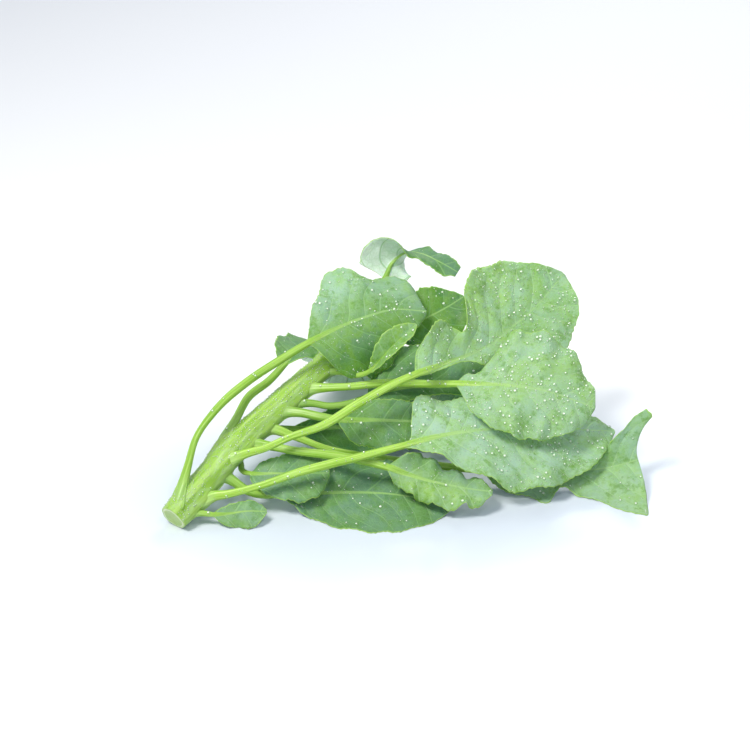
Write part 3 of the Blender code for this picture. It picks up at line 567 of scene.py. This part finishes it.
shader = add(tree, "ShaderNodeBsdfPrincipled", {
    "Base Color": colour, "Roughness": gloss, "Normal": relief, "IOR": 1.4,
    "Subsurface Weight": 0.22, "Subsurface Radius": (0.5, 1.0, 0.2), "Subsurface Scale": 0.002,
    "Sheen Weight": 0.04, "Sheen Roughness": 0.4, "Sheen Tint": linear("#DDEBEE"),
})
tree.links.new(shader.outputs[0], output.inputs[0])

dew_surfaces = []


def grow_leaf(node, deep_green_and_shade, yellow, dew, **shape):
    """Makes a leaf in place of its solid.

    How dark its green is, from its own colour and from painted shade, and how yellow it is, are given at its
    left and right margin. dew is how wet it is.
    """
    grid, above, below, table = leaf_surface(**shape)
    points, faces = leaf_skin(grid, above, below)
    half = len(points) // 2
    numbers = {name: np.tile(values.ravel(), 2) for name, values in table.items()}
    numbers["under"] = np.repeat([0.0, 1.0], half)
    aside = np.clip(0.5 + table["across"] / (2 * np.abs(table["across"]).max()) * 1.6, 0, 1)
    numbers["deep_green_and_shade"] = np.tile((deep_green_and_shade[0] + (deep_green_and_shade[1] - deep_green_and_shade[0]) * aside).ravel(), 2)
    numbers["yellow"] = np.tile((yellow[0] + (yellow[1] - yellow[0]) * aside).ravel(), 2)
    piece = finished_piece(node.replace("leaf_", "kale_leaf_"), points, faces, leaf_tissue, numbers)
    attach(piece, "root")
    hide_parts(node)
    if dew:
        dew_surfaces.append((points[:half].reshape(grid.shape), table, dew))
    return piece


# The big left leaf stands over the stem on a long petiole. Its upper face looks at the view, and its
# lower edge curls under.
grow_leaf(
    "leaf_01_left", deep_green_and_shade=(0.15, 1.0), yellow=(0.0, 1.0), dew=0.35,
    petiole=((-108, -48, 15), (-111, -44, 31), (-106, -33, 44), (-96, -20, 54), (-76, 2, 63),
             (-58, 14, 70), (-40, 24, 77)),
    midrib=((-40, 24, 77), (-24, 34, 81), (-9, 43, 83), (12, 53, 84), (32, 58, 80)),
    faces_up=((-0.7, -0.3, 0.6), (0.1, -0.4, 0.9), (0.2, -0.45, 0.85), (0.2, -0.4, 0.85)),
    outline=((0, 2, 3), (0.09, 11, 25), (0.2, 21, 33), (0.32, 30, 36), (0.43, 39, 37), (0.53, 37, 35),
             (0.63, 28, 31), (0.73, 26, 26), (0.84, 26, 19), (0.92, 19, 12), (1, 2, 2)),
    bend=((0, 6, -4, -28), (4, -8, -6, -40), (0, -20, -6, -20)),
    wave=(1.6, 3, 11),
)

# The front leaf lies across the shoot on the longest petiole, with an ear at its base and its tip at the
# right.
grow_leaf(
    "leaf_02_front", deep_green_and_shade=(0.0, 0.0), yellow=(0.0, 0.05), dew=0.55,
    petiole=((-104, -44, 16), (-97, -49, 14), (-88, -51, 16), (-70, -49, 20), (-44, -45, 28), (-24, -40, 31),
             (-4, -34, 33), (17, -27, 35)),
    midrib=((17, -27, 35), (35, -21, 37), (57, -14, 37), (88, -6, 34), (119, 1, 29), (147, 7, 24)),
    faces_up=((0.1, -0.8, 0.4), (0, -0.4, 0.9), (0, -0.4, 0.9), (0.1, -0.35, 0.9)),
    outline=((0, 2, 2), (0.04, 3, 4), (0.08, 13, 7), (0.13, 26, 11), (0.19, 32, 18), (0.27, 29, 25),
             (0.42, 29, 38), (0.55, 29, 41), (0.7, 25, 37), (0.84, 17, 27), (0.94, 9, 14), (1, 1, 1)),
    bend=((16, 6, -6, -6), (-2, -8, -5, -9), (-12, -10, -4, -12), (-8, -10, -2, -10), (0, -12, 0, -8)),
    wave=(1.8, 4, 5),
    lean=((-0.1, -0.1), (0.05, 0.05)),
)

# The top right leaf stands highest, with an ear low on its left side. It is thick with beads of water.
grow_leaf(
    "leaf_03_top_right", deep_green_and_shade=(0.0, 0.0), yellow=(0.62, 0.3), dew=1.0,
    petiole=((-88, -22, 27), (-80, -30, 31), (-66, -32, 36), (-50, -30, 43), (-31, -27, 49), (-10, -17, 58),
             (6, -9, 64), (25, 3, 67)),
    midrib=((25, 3, 67), (41, 13, 68), (58, 24, 69), (70, 32, 71), (83, 42, 77), (96, 51, 84),
            (107, 60, 92), (117, 69, 101)),
    faces_up=((0.3, -0.7, 0.6), (0.2, -0.6, 0.75), (0.17, -0.67, 0.66), (0.17, -0.67, 0.62),
              (0.3, -0.6, 0.6)),
    outline=((0, 2, 2), (0.05, 14, 2.6), (0.13, 24, 2.6), (0.2, 26, 2.8), (0.27, 21, 3), (0.32, 15, 5),
             (0.38, 27, 12), (0.48, 39, 21), (0.6, 42, 28), (0.74, 38, 31), (0.87, 28, 25),
             (0.95, 16, 14), (1, 2, 2)),
    bend=((22, 20, -8, 0), (14, 12, -8, 6), (4, 0, -4, 10)),
    wave=(2.0, 5, 3),
)

# The lowest leaf lies pressed on the table in front. It is older and a darker green.
grow_leaf(
    "leaf_04_floor", deep_green_and_shade=(0.8, 0.75), yellow=(0.0, 0.1), dew=0.15, ruffle=0.5,
    petiole=((-92, -28, 24), (-86, -36, 17), (-76, -41, 12), (-66, -42, 10), (-56, -40, 9)),
    midrib=((-56, -40, 8), (-38, -38, 8), (-17, -37, 8), (8, -37, 7), (30, -40, 5), (48, -44, 3)),
    faces_up=((0, -0.5, 0.8), (0, -0.3, 0.95), (0, -0.2, 1), (0, -0.15, 1)),
    outline=((0, 2, 2), (0.06, 18, 9), (0.14, 26, 16), (0.22, 26, 22), (0.3, 20, 27), (0.42, 22, 31),
             (0.6, 23, 33), (0.78, 18, 27), (0.92, 9, 15), (1, 1, 1)),
    bend=((30, 20, -8, 0), (12, 6, -12, 6), (6, 0, -6, 4)),
    wave=(1.2, 4, 8),
)

# This leaf hangs down behind the stem, and its tip touches the table.
grow_leaf(
    "leaf_05_back_floor", deep_green_and_shade=(0.85, 0.85), yellow=(0.3, 0.3), dew=0.1,
    petiole=((-82, -15, 30), (-84, -4, 40), (-77, 6, 49), (-65, 17, 54), (-56, 32, 57)),
    midrib=((-56, 32, 57), (-48, 50, 58), (-38, 67, 54), (-27, 81, 42), (-16, 92, 25), (-8, 99, 8),
            (-3, 104, -3)),
    faces_up=((-0.6, 0.1, 0.7), (-0.2, -0.1, 0.95), (-0.2, 0.35, 0.85), (-0.2, 0.8, 0.6), (-0.1, 0.8, 0.4)),
    outline=((0, 2, 2), (0.06, 9, 7), (0.18, 16, 13), (0.35, 22, 20), (0.55, 28, 29), (0.75, 25, 26),
             (0.9, 14, 14), (1, 2, 2)),
    bend=((14, 24, 0, -10), (8, 14, -6, -16), (-4, -10, -4, -10)),
    wave=(2.0, 4, 21),
)

# A narrow, crumpled leaf fills the gap between the lowest leaf and the front one.
grow_leaf(
    "leaf_06_crumpled", deep_green_and_shade=(0.45, 0.2), yellow=(0.2, 0.9), dew=0.2, ruffle=1.3,
    petiole=((-76, -9, 33), (-66, -19, 31), (-50, -26, 31), (-30, -29, 30), (-12, -31, 28), (8, -34, 24)),
    midrib=((8, -34, 24), (20, -37, 21), (33, -40, 18), (46, -42, 16), (59, -43, 14), (70, -44, 13)),
    faces_up=((0.2, -0.8, 0.5), (0, -0.5, 0.85), (0, -0.3, 0.95), (0, -0.3, 0.95)),
    outline=((0, 2, 2), (0.08, 8, 7), (0.2, 14, 10), (0.4, 15, 13), (0.6, 14, 15), (0.8, 10, 12),
             (0.93, 6, 8), (1, 2, 2)),
    bend=((30, 20, -24, -24), (14, -40, -10, -24), (6, -20, 0, -16)),
    wave=(2.6, 4, 14),
)

# The far right leaf widens to a ruffled tip that turns up, beyond the end of the others.
grow_leaf(
    "leaf_07_far_right", deep_green_and_shade=(0.2, 0.15), yellow=(0.25, 0.25), dew=0.1,
    petiole=((-66, 2, 38), (-52, -10, 33), (-30, -14, 25), (0, -12, 17), (36, -11, 11), (66, -12, 8)),
    midrib=((66, -12, 8), (90, -13, 7), (115, -13, 8), (135, -13, 9), (150, -12, 12), (160, -11, 15)),
    faces_up=((0.3, -0.6, 0.6), (0, -0.3, 0.95), (0, -0.3, 0.95), (-0.1, -0.45, 0.9)),
    outline=((0, 2, 2), (0.1, 9, 12), (0.28, 12, 19), (0.38, 11, 25), (0.48, 7, 14), (0.62, 5, 19),
             (0.74, 9, 26), (0.85, 21, 36), (0.93, 28, 42), (0.98, 27, 38), (1, 24, 26)),
    bend=((10, 0, -8, 0), (18, 16, -8, 8), (30, 30, -4, 10)),
    wave=(0.8, 3, 17),
    lean=((0, 0), (0, 0), (0.66, -0.1)),
)

# This leaf lies under the front ones, in the middle of the shoot.
grow_leaf(
    "leaf_08_middle", deep_green_and_shade=(0.75, 0.8), yellow=(0.4, 0.4), dew=0.2,
    petiole=((-57, 10, 43), (-46, 0, 43), (-34, -5, 42), (-22, -7, 41)),
    midrib=((-22, -7, 41), (-2, -6, 40), (20, -4, 38), (42, 0, 35), (60, 4, 31)),
    faces_up=((0.2, -0.7, 0.7), (0, -0.55, 0.83), (0, -0.5, 0.86), (0, -0.4, 0.9)),
    outline=((0, 2, 2), (0.08, 9, 12), (0.2, 13, 17), (0.4, 14, 18), (0.6, 13, 16), (0.8, 10, 12),
             (0.93, 6, 7), (1, 1, 1)),
    bend=((8, 0, -6, -10), (4, 0, -4, -8), (0, 0, 0, 0)),
    wave=(1.0, 3, 31),
)

# The big right leaf lies nearly flat on the others. It is thick with beads of water.
grow_leaf(
    "leaf_09_right", deep_green_and_shade=(0.12, 0.14), yellow=(0.35, 0.3), dew=1.0,
    petiole=((-42, 26, 49), (-31, 16, 50), (-14, 14, 52), (4, 16, 53), (20, 16, 53), (36, 15, 53),
             (50, 12, 55)),
    midrib=((50, 12, 55), (66, 8, 57), (84, 4, 58), (104, 1, 56), (120, -1, 51), (133, -2, 46)),
    faces_up=((0.3, -0.6, 0.7), (0, -0.42, 0.9), (-0.05, -0.53, 0.83), (0.1, -0.5, 0.85)),
    outline=((0, 2, 2), (0.07, 8, 11), (0.13, 7, 19), (0.2, 14, 24), (0.3, 31, 29), (0.44, 38, 32),
             (0.6, 37, 32), (0.76, 30, 28), (0.9, 19, 18), (0.97, 10, 10), (1, 1, 1)),
    bend=((6, 4, 0, -4), (5, -2, 0, -6), (4, -8, -4, -12), (0, -14, 0, -10)),
    wave=(1.6, 5, 9),
)

# This leaf stands behind the top right one, near the stem's tip. Its dark green is painted shade.
grow_leaf(
    "leaf_10_behind", deep_green_and_shade=(1.0, 0.95), yellow=(1.0, 1.0), dew=0.2,
    petiole=((-22, 46, 56), (-12, 53, 57), (0, 60, 58), (10, 65, 61)),
    midrib=((10, 65, 61), (22, 67, 66), (34, 70, 70), (46, 74, 75), (56, 78, 80)),
    faces_up=((0, -0.6, 0.8), (-0.2, -0.7, 0.65), (-0.2, -0.7, 0.65), (-0.1, -0.7, 0.7)),
    outline=((0, 2, 2), (0.1, 10, 10), (0.3, 18, 20), (0.5, 19, 24), (0.7, 17, 22), (0.88, 10, 13),
             (1, 1, 1)),
    bend=((8, 6, 8, 6), (4, 6, 4, 6), (0, 0, 0, 0)),
    wave=(1.2, 3, 41),
    thin=0.8,
)

# The topmost leaf arches over, so that its pale underside shows.
grow_leaf(
    "leaf_11_top", deep_green_and_shade=(0.8, 0.8), yellow=(0.0, 0.0), dew=0.1, ruffle=0.9,
    petiole=((-17, 51, 58), (-13, 60, 64), (-9, 71, 70), (-3, 80, 79), (6, 85, 89)),
    midrib=((6, 85, 89), (11, 90, 98), (18, 94, 103), (29, 92, 103), (41, 88, 99), (52, 84, 94)),
    faces_up=((0, 0.3, 0.9), (0, 0.9, -0.2), (0.1, 0.8, 0.3), (0.2, 0.1, 0.9), (0.3, -0.4, 0.9),
              (0.3, -0.5, 0.8)),
    outline=((0, 2, 2), (0.05, 11, 14), (0.12, 15, 19), (0.2, 15, 22), (0.3, 12, 20), (0.4, 10, 15),
             (0.5, 9, 10), (0.62, 8, 8), (0.78, 8, 8), (0.92, 7, 7), (1, 4, 4)),
    bend=((0, 0, 0, 10), (0, 0, 0, 0), (0, 0, 0, 0)),
    wave=(1.0, 3, 51),
    lean=((0, -0.1), (0, 0)),
    thin=0.8,
)

# The youngest leaf is still folded along its midrib, and is a brighter, yellower green.
grow_leaf(
    "leaf_12_young", deep_green_and_shade=(0.35, 0.45), yellow=(0.9, 1.0), dew=0.3,
    petiole=((-30, 38, 54), (-21, 27, 55), (-11, 17, 58), (-3, 12, 64)),
    midrib=((-3, 12, 64), (3, 13, 71), (10, 16, 78), (18, 21, 84), (25, 27, 88)),
    faces_up=((0.2, -0.6, 0.7), (-0.2, -0.7, 0.6), (-0.3, -0.6, 0.6), (-0.3, -0.6, 0.6)),
    outline=((0, 1.5, 1.5), (0.15, 5, 5), (0.4, 9, 9), (0.65, 9, 9), (0.85, 6, 6), (1, 1, 1)),
    bend=((40, 10, 40, 10), (36, 10, 36, 10), (30, 0, 30, 0)),
    wave=(0.5, 3, 61),
    thin=0.62,
)

# An inner leaf in the shade of the others, painted darker and duller as painted shade.
grow_leaf(
    "leaf_13_inner", deep_green_and_shade=(0.75, 1.0), yellow=(0.2, 0.2), dew=0.2,
    petiole=((-50, 17, 46), (-40, 11, 43), (-28, 9, 41), (-16, 12, 41), (-4, 17, 43)),
    midrib=((-4, 17, 43), (14, 21, 46), (32, 22, 47), (50, 23, 47), (68, 25, 46), (82, 28, 44)),
    faces_up=((0.2, -0.7, 0.7), (0, -0.55, 0.8), (0, -0.5, 0.85), (0, -0.5, 0.85)),
    outline=((0, 2, 2), (0.08, 14, 5), (0.18, 26, 8), (0.3, 30, 8), (0.5, 26, 6), (0.7, 21, 6),
             (0.88, 12, 5), (1, 1, 1)),
    bend=((4, 4, -4, 0), (0, 0, -4, 0), (0, 0, 0, 0)),
    wave=(1.0, 3, 71),
    thin=0.8,
)

# A low leaf that carries the others. Only its edges show, painted the darkest green as painted shade.
grow_leaf(
    "leaf_14_underneath", deep_green_and_shade=(1.0, 1.0), yellow=(0.2, 0.2), dew=0.0,
    petiole=((-72, -5, 35), (-66, 6, 27), (-58, 13, 22), (-50, 18, 19)),
    midrib=((-50, 18, 19), (-28, 26, 15), (-8, 33, 12), (14, 38, 12), (40, 42, 11), (66, 44, 9),
            (90, 44, 6), (106, 43, 4)),
    faces_up=((-0.3, 0.3, 0.9), (0, -0.4, 0.9), (0, -0.35, 0.9), (0, -0.3, 0.95)),
    outline=((0, 2, 2), (0.06, 6, 9), (0.15, 12, 20), (0.28, 17, 23), (0.4, 20, 22), (0.52, 26, 23),
             (0.65, 28, 25), (0.79, 24, 22), (0.92, 13, 12), (1, 1, 1)),
    bend=((6, 6, 0, 0), (0, 0, 0, 6), (0, 0, 0, 0)),
    wave=(1.5, 4, 81),
)

# A small leaf lies under the petioles, close to the stem.
grow_leaf(
    "leaf_15_by_stem", deep_green_and_shade=(0.75, 0.65), yellow=(0.1, 0.1), dew=0.15,
    petiole=((-82, -15, 30), (-81, -17, 17), (-80, -26, 17), (-74, -33, 19)),
    midrib=((-74, -33, 19), (-60, -36, 21), (-45, -36, 21), (-27, -34, 20)),
    faces_up=((0.3, 0.3, 0.9), (0, -0.45, 0.9), (0, -0.45, 0.9), (0, -0.45, 0.9)),
    outline=((0, 2, 2), (0.1, 7, 9), (0.3, 10, 15), (0.55, 15, 18), (0.75, 17, 17), (0.92, 9, 10), (1, 1, 1)),
    bend=((8, 0, -6, 0), (4, 0, -4, -10), (0, 0, 0, -10)),
    wave=(0.9, 3, 91),
    thin=0.65,
)

# The smallest leaf grows lowest on the stem and lies crumpled on the table.
grow_leaf(
    "leaf_16_small_front", deep_green_and_shade=(0.6, 0.5), yellow=(0.2, 0.5), dew=0.1,
    petiole=((-111, -52, 12.5), (-103, -58, 8), (-95, -59, 7)),
    midrib=((-95, -59, 7), (-86, -58, 7), (-76, -57, 8), (-64, -56, 7)),
    faces_up=((0, -0.3, 0.9), (0, -0.4, 0.9), (0, -0.5, 0.85), (0, -0.5, 0.85)),
    outline=((0, 1.5, 1.5), (0.15, 4, 6), (0.4, 6, 10), (0.65, 7, 11), (0.88, 5, 7), (1, 1, 1)),
    bend=((14, 0, -16, -20), (8, 0, -10, -20), (0, 0, 0, 0)),
    wave=(1.3, 3, 101),
    thin=0.65,
)


# Water drops
# The shoot was sprayed: clear beads of water, 0.6 to 2.8 mm across, stand on the waxy blades and the stem.
# Small ones are many and big ones few.

# A drop's height, as a share of its radius.
DROP_FLATNESS = 0.68

# Clean tap water: clear, with no colour of its own. Each drop has a painted highlight on the side that faces
# the lamp and a weaker painted glow across from it, both set by the drop's own surface direction. The rest
# shows the leaf below, a little paler.
water, tree, output = new_material("water drops with painted highlights")
facing = add(tree, "ShaderNodeNewGeometry").outputs["Normal"]
to_lamp = {0: facing, 1: (-0.25, -0.36, 0.9)}
spot = add(tree, "ShaderNodeVectorMath", to_lamp, operation="DOT_PRODUCT").outputs["Value"]
spot = add(tree, "ShaderNodeMapRange", {0: spot, 1: 0.78, 2: 0.93}, **SMOOTH).outputs[0]
from_lamp = {0: facing, 1: (0.5, -0.75, -0.1)}
painted_glow = add(tree, "ShaderNodeVectorMath", from_lamp, operation="DOT_PRODUCT").outputs["Value"]
painted_glow = add(tree, "ShaderNodeMapRange", {0: painted_glow, 1: 0.6, 2: 0.95, 4: 0.6}, **SMOOTH).outputs[0]
painted_highlights = add(tree, "ShaderNodeMath", {0: spot, 1: painted_glow}, operation="MAXIMUM").outputs[0]
colour = {0: painted_highlights, 6: linear("#8FBF78"), 7: linear("#F2FAEE")}
colour = add(tree, "ShaderNodeMix", colour, **RGBA).outputs[2]
cover = add(tree, "ShaderNodeMapRange", {0: painted_highlights, 3: 0.22, 4: 0.8}).outputs[0]
shader = {"Base Color": colour, "Roughness": 0.04, "IOR": 1.5, "Alpha": cover}
shader = add(tree, "ShaderNodeBsdfPrincipled", shader)
tree.links.new(shader.outputs[0], output.inputs[0])


def wet_surface(name, points, faces, wetness):
    """A surface to spray, from points in millimetres, with how wet it is at each of them."""
    mesh = bpy.data.meshes.new(name)
    mesh.from_pydata((points - FOOTPRINT_MIDDLE) * MM, [], faces)
    mesh.attributes.new("wet", "FLOAT", "POINT").data.foreach_set("value", wetness.astype(np.float32))
    return mesh


def spray(name, surface, most_drops, closest, least_radius, most_radius, fineness, seed):
    """A mesh piece of drops, scattered on the surface by its wetness, many small ones for each big one."""
    made = bpy.data.node_groups.new(name, "GeometryNodeTree")
    for way in ("INPUT", "OUTPUT"):
        made.interface.new_socket("Geometry", in_out=way, socket_type="NodeSocketGeometry")
    given = made.nodes.new("NodeGroupInput").outputs[0]
    wet = add(made, "GeometryNodeInputNamedAttribute", {"Name": "wet"}, data_type="FLOAT").outputs[0]
    points = add(made, "GeometryNodeDistributePointsOnFaces", {
        "Mesh": given, "Distance Min": closest * MM, "Density Max": most_drops,
        "Density Factor": wet, "Seed": seed,
    }, distribute_method="POISSON")
    chance = add(made, "FunctionNodeRandomValue", {"Seed": seed}, data_type="FLOAT").outputs[1]
    rare = add(made, "ShaderNodeMath", {0: chance, 1: 3.0}, operation="POWER").outputs[0]
    radius = add(made, "ShaderNodeMapRange", {0: rare, 3: least_radius * MM, 4: most_radius * MM}).outputs[0]
    high = add(made, "ShaderNodeMath", {0: radius, 1: DROP_FLATNESS}, operation="MULTIPLY").outputs[0]
    size = add(made, "ShaderNodeCombineXYZ", {0: radius, 1: radius, 2: high}).outputs[0]
    ball = add(made, "GeometryNodeMeshIcoSphere", {"Radius": 1.0, "Subdivisions": fineness}).outputs["Mesh"]
    ball = add(made, "GeometryNodeTransform", {"Geometry": ball, "Translation": (0.0, 0.0, 0.3)}).outputs[0]
    ball = add(made, "GeometryNodeSetShadeSmooth", {0: ball}).outputs[0]
    drops = add(made, "GeometryNodeInstanceOnPoints", {
        "Points": points.outputs["Points"], "Instance": ball,
        "Rotation": points.outputs["Rotation"], "Scale": size,
    }).outputs[0]
    drops = add(made, "GeometryNodeRealizeInstances", {0: drops}).outputs[0]
    drops = add(made, "GeometryNodeSetMaterial", {"Geometry": drops, "Material": water}).outputs[0]
    made.links.new(drops, made.nodes.new("NodeGroupOutput").inputs[0])
    sprayed = bpy.data.objects.new(name, surface)
    bpy.context.scene.collection.objects.link(sprayed)
    modifier = sprayed.modifiers.new("Spray", "NODES")
    modifier.node_group = made
    bpy.context.view_layer.update()
    graph = bpy.context.evaluated_depsgraph_get()
    drops = bpy.data.meshes.new_from_object(sprayed.evaluated_get(graph))
    sprayed.modifiers.remove(modifier)
    sprayed.data = drops
    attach(sprayed, "root")


# Leaves are wet in broad patches, less on their petioles and not at their margins. The stem is wet on top.
points, faces, wetness = [], [], []
first = 0
for surface, table, dew in dew_surfaces:
    rows, columns = surface.shape[:2]
    r, c = np.meshgrid(np.arange(rows - 1), np.arange(columns - 1), indexing="ij")
    a = (first + r * columns + c).ravel()
    faces += np.stack([a, a + 1, a + columns + 1, a + columns], axis=1).tolist()
    points.append(surface.reshape(-1, 3))
    inside = np.clip(table["rim"] / 2, 0, 1) * np.where(table["along"] > 2, 1.0, 0.75)
    x, y, z = np.moveaxis(surface, 2, 0)
    patches = np.sin(x * 0.13 + first) * np.sin(y * 0.17 + z * 0.05)
    wetness.append((dew * inside * (0.62 + 0.38 * patches)).ravel())
    first += rows * columns
wet_leaves = wet_surface("wet leaves", np.vstack(points), faces, np.concatenate(wetness))
on_top = np.clip(stem_numbers["skin"][:, 1] / SKIN_RADIUS * 1.4, 0, 1) * (stem_numbers["out_share"] > 1.5)
wet_stem = wet_surface("wet stem", stem_points, stem_faces, on_top)
# The most drops on a square metre, how close they come and their least and greatest radius in millimetres,
# how finely each is cut, and the seed.
for name, surface, *settings in (
    ("drops_on_leaves", wet_leaves, 260000.0, 1.7, 0.38, 1.4, 2, 4),
    ("fine_drops_on_leaves", wet_leaves, 320000.0, 1.15, 0.3, 0.46, 1, 8),
    ("fine_drops_on_stem", wet_stem, 400000.0, 1.0, 0.4, 0.8, 1, 15),
):
    spray(name, surface, *settings)


# The table, the light and the view
# A plain pale table that reflects a little, wide soft studio light, and the photograph's viewing angle.

VIEW_TARGET = (0.0, 0.0, 68.0)
VIEW_DISTANCE = 1250.0
VIEW_ELEVATION = 30.0

# White laminate with a satin face. It shows a weak, soft reflection of what lies on it, and round the shoot a
# bluish tint is painted on as its shadow and reflection.
table_top, tree, output = new_material("satin white table with painted shadow")
place = add(tree, "ShaderNodeTexCoord").outputs["Object"]
place = {"Vector": place, "Location": (0.0, 0.4, 0.0), "Scale": (4.6, 8.5, 1.0)}
place = add(tree, "ShaderNodeMapping", place).outputs[0]
past_painted_shadow = add(tree, "ShaderNodeVectorMath", {0: place}, operation="LENGTH").outputs["Value"]
past_painted_shadow = add(tree, "ShaderNodeMapRange", {0: past_painted_shadow, 1: 0.55, 2: 1.35}, **SMOOTH).outputs[0]
colour = add(tree, "ShaderNodeMix", {0: past_painted_shadow, 6: linear("#DBE3EE"), 7: linear("#FDFDFE")}, **RGBA).outputs[2]
shader = add(tree, "ShaderNodeBsdfPrincipled", {"Base Color": colour, "Roughness": 0.18, "IOR": 1.4})
tree.links.new(shader.outputs[0], output.inputs[0])
sheet = bpy.data.meshes.new("table_top")
sheet.from_pydata([(-6, -4, 0), (6, -4, 0), (6, 12, 0), (-6, 12, 0)], [], [(0, 1, 2, 3)])
sheet.materials.append(table_top)
floor = bpy.data.objects.new("table_top", sheet)
bpy.context.scene.collection.objects.link(floor)

world = bpy.data.worlds.new("studio")
world.use_nodes = True
world.node_tree.nodes["Background"].inputs["Color"].default_value = linear("#E2EEFF")
world.node_tree.nodes["Background"].inputs["Strength"].default_value = 0.42
bpy.context.scene.world = world

for name, at, size, power, tint in (
    ("key softbox", (-0.5, -0.35, 1.05), 0.4, 10.9, "#FFFCF4"),
    ("back softbox", (0.4, 1.0, 0.9), 0.9, 6.5, "#FFFFFF"),
    ("front softbox", (0.25, -1.5, 0.7), 1.1, 3.4, "#FFFFFF"),
    ("small spot", (0.3, -0.5, 1.2), 0.2, 2.0, "#FFFFFF"),
):
    light = bpy.data.lights.new(name, "AREA")
    light.shape = "DISK"
    light.size = size
    light.energy = power
    light.color = linear(tint)[:3]
    lamp = bpy.data.objects.new(name, light)
    lamp.location = at
    lamp.rotation_euler = (Vector((0, 0, 0.04)) - Vector(at)).to_track_quat("-Z", "Y").to_euler()
    bpy.context.scene.collection.objects.link(lamp)

target = (np.array(VIEW_TARGET) - FOOTPRINT_MIDDLE) * MM
rise = math.radians(VIEW_ELEVATION)
lens = bpy.data.cameras.new("view")
lens.lens = 100.0
lens.sensor_width = 36.0
lens.clip_start = 0.05
lens.clip_end = 50.0
camera = bpy.data.objects.new("view", lens)
camera.location = target + VIEW_DISTANCE * MM * np.array((0.0, -math.cos(rise), math.sin(rise)))
camera.rotation_euler = (math.radians(90) - rise, 0.0, 0.0)
bpy.context.scene.collection.objects.link(camera)
bpy.context.scene.camera = camera
bpy.context.scene.view_settings.view_transform = "Standard"
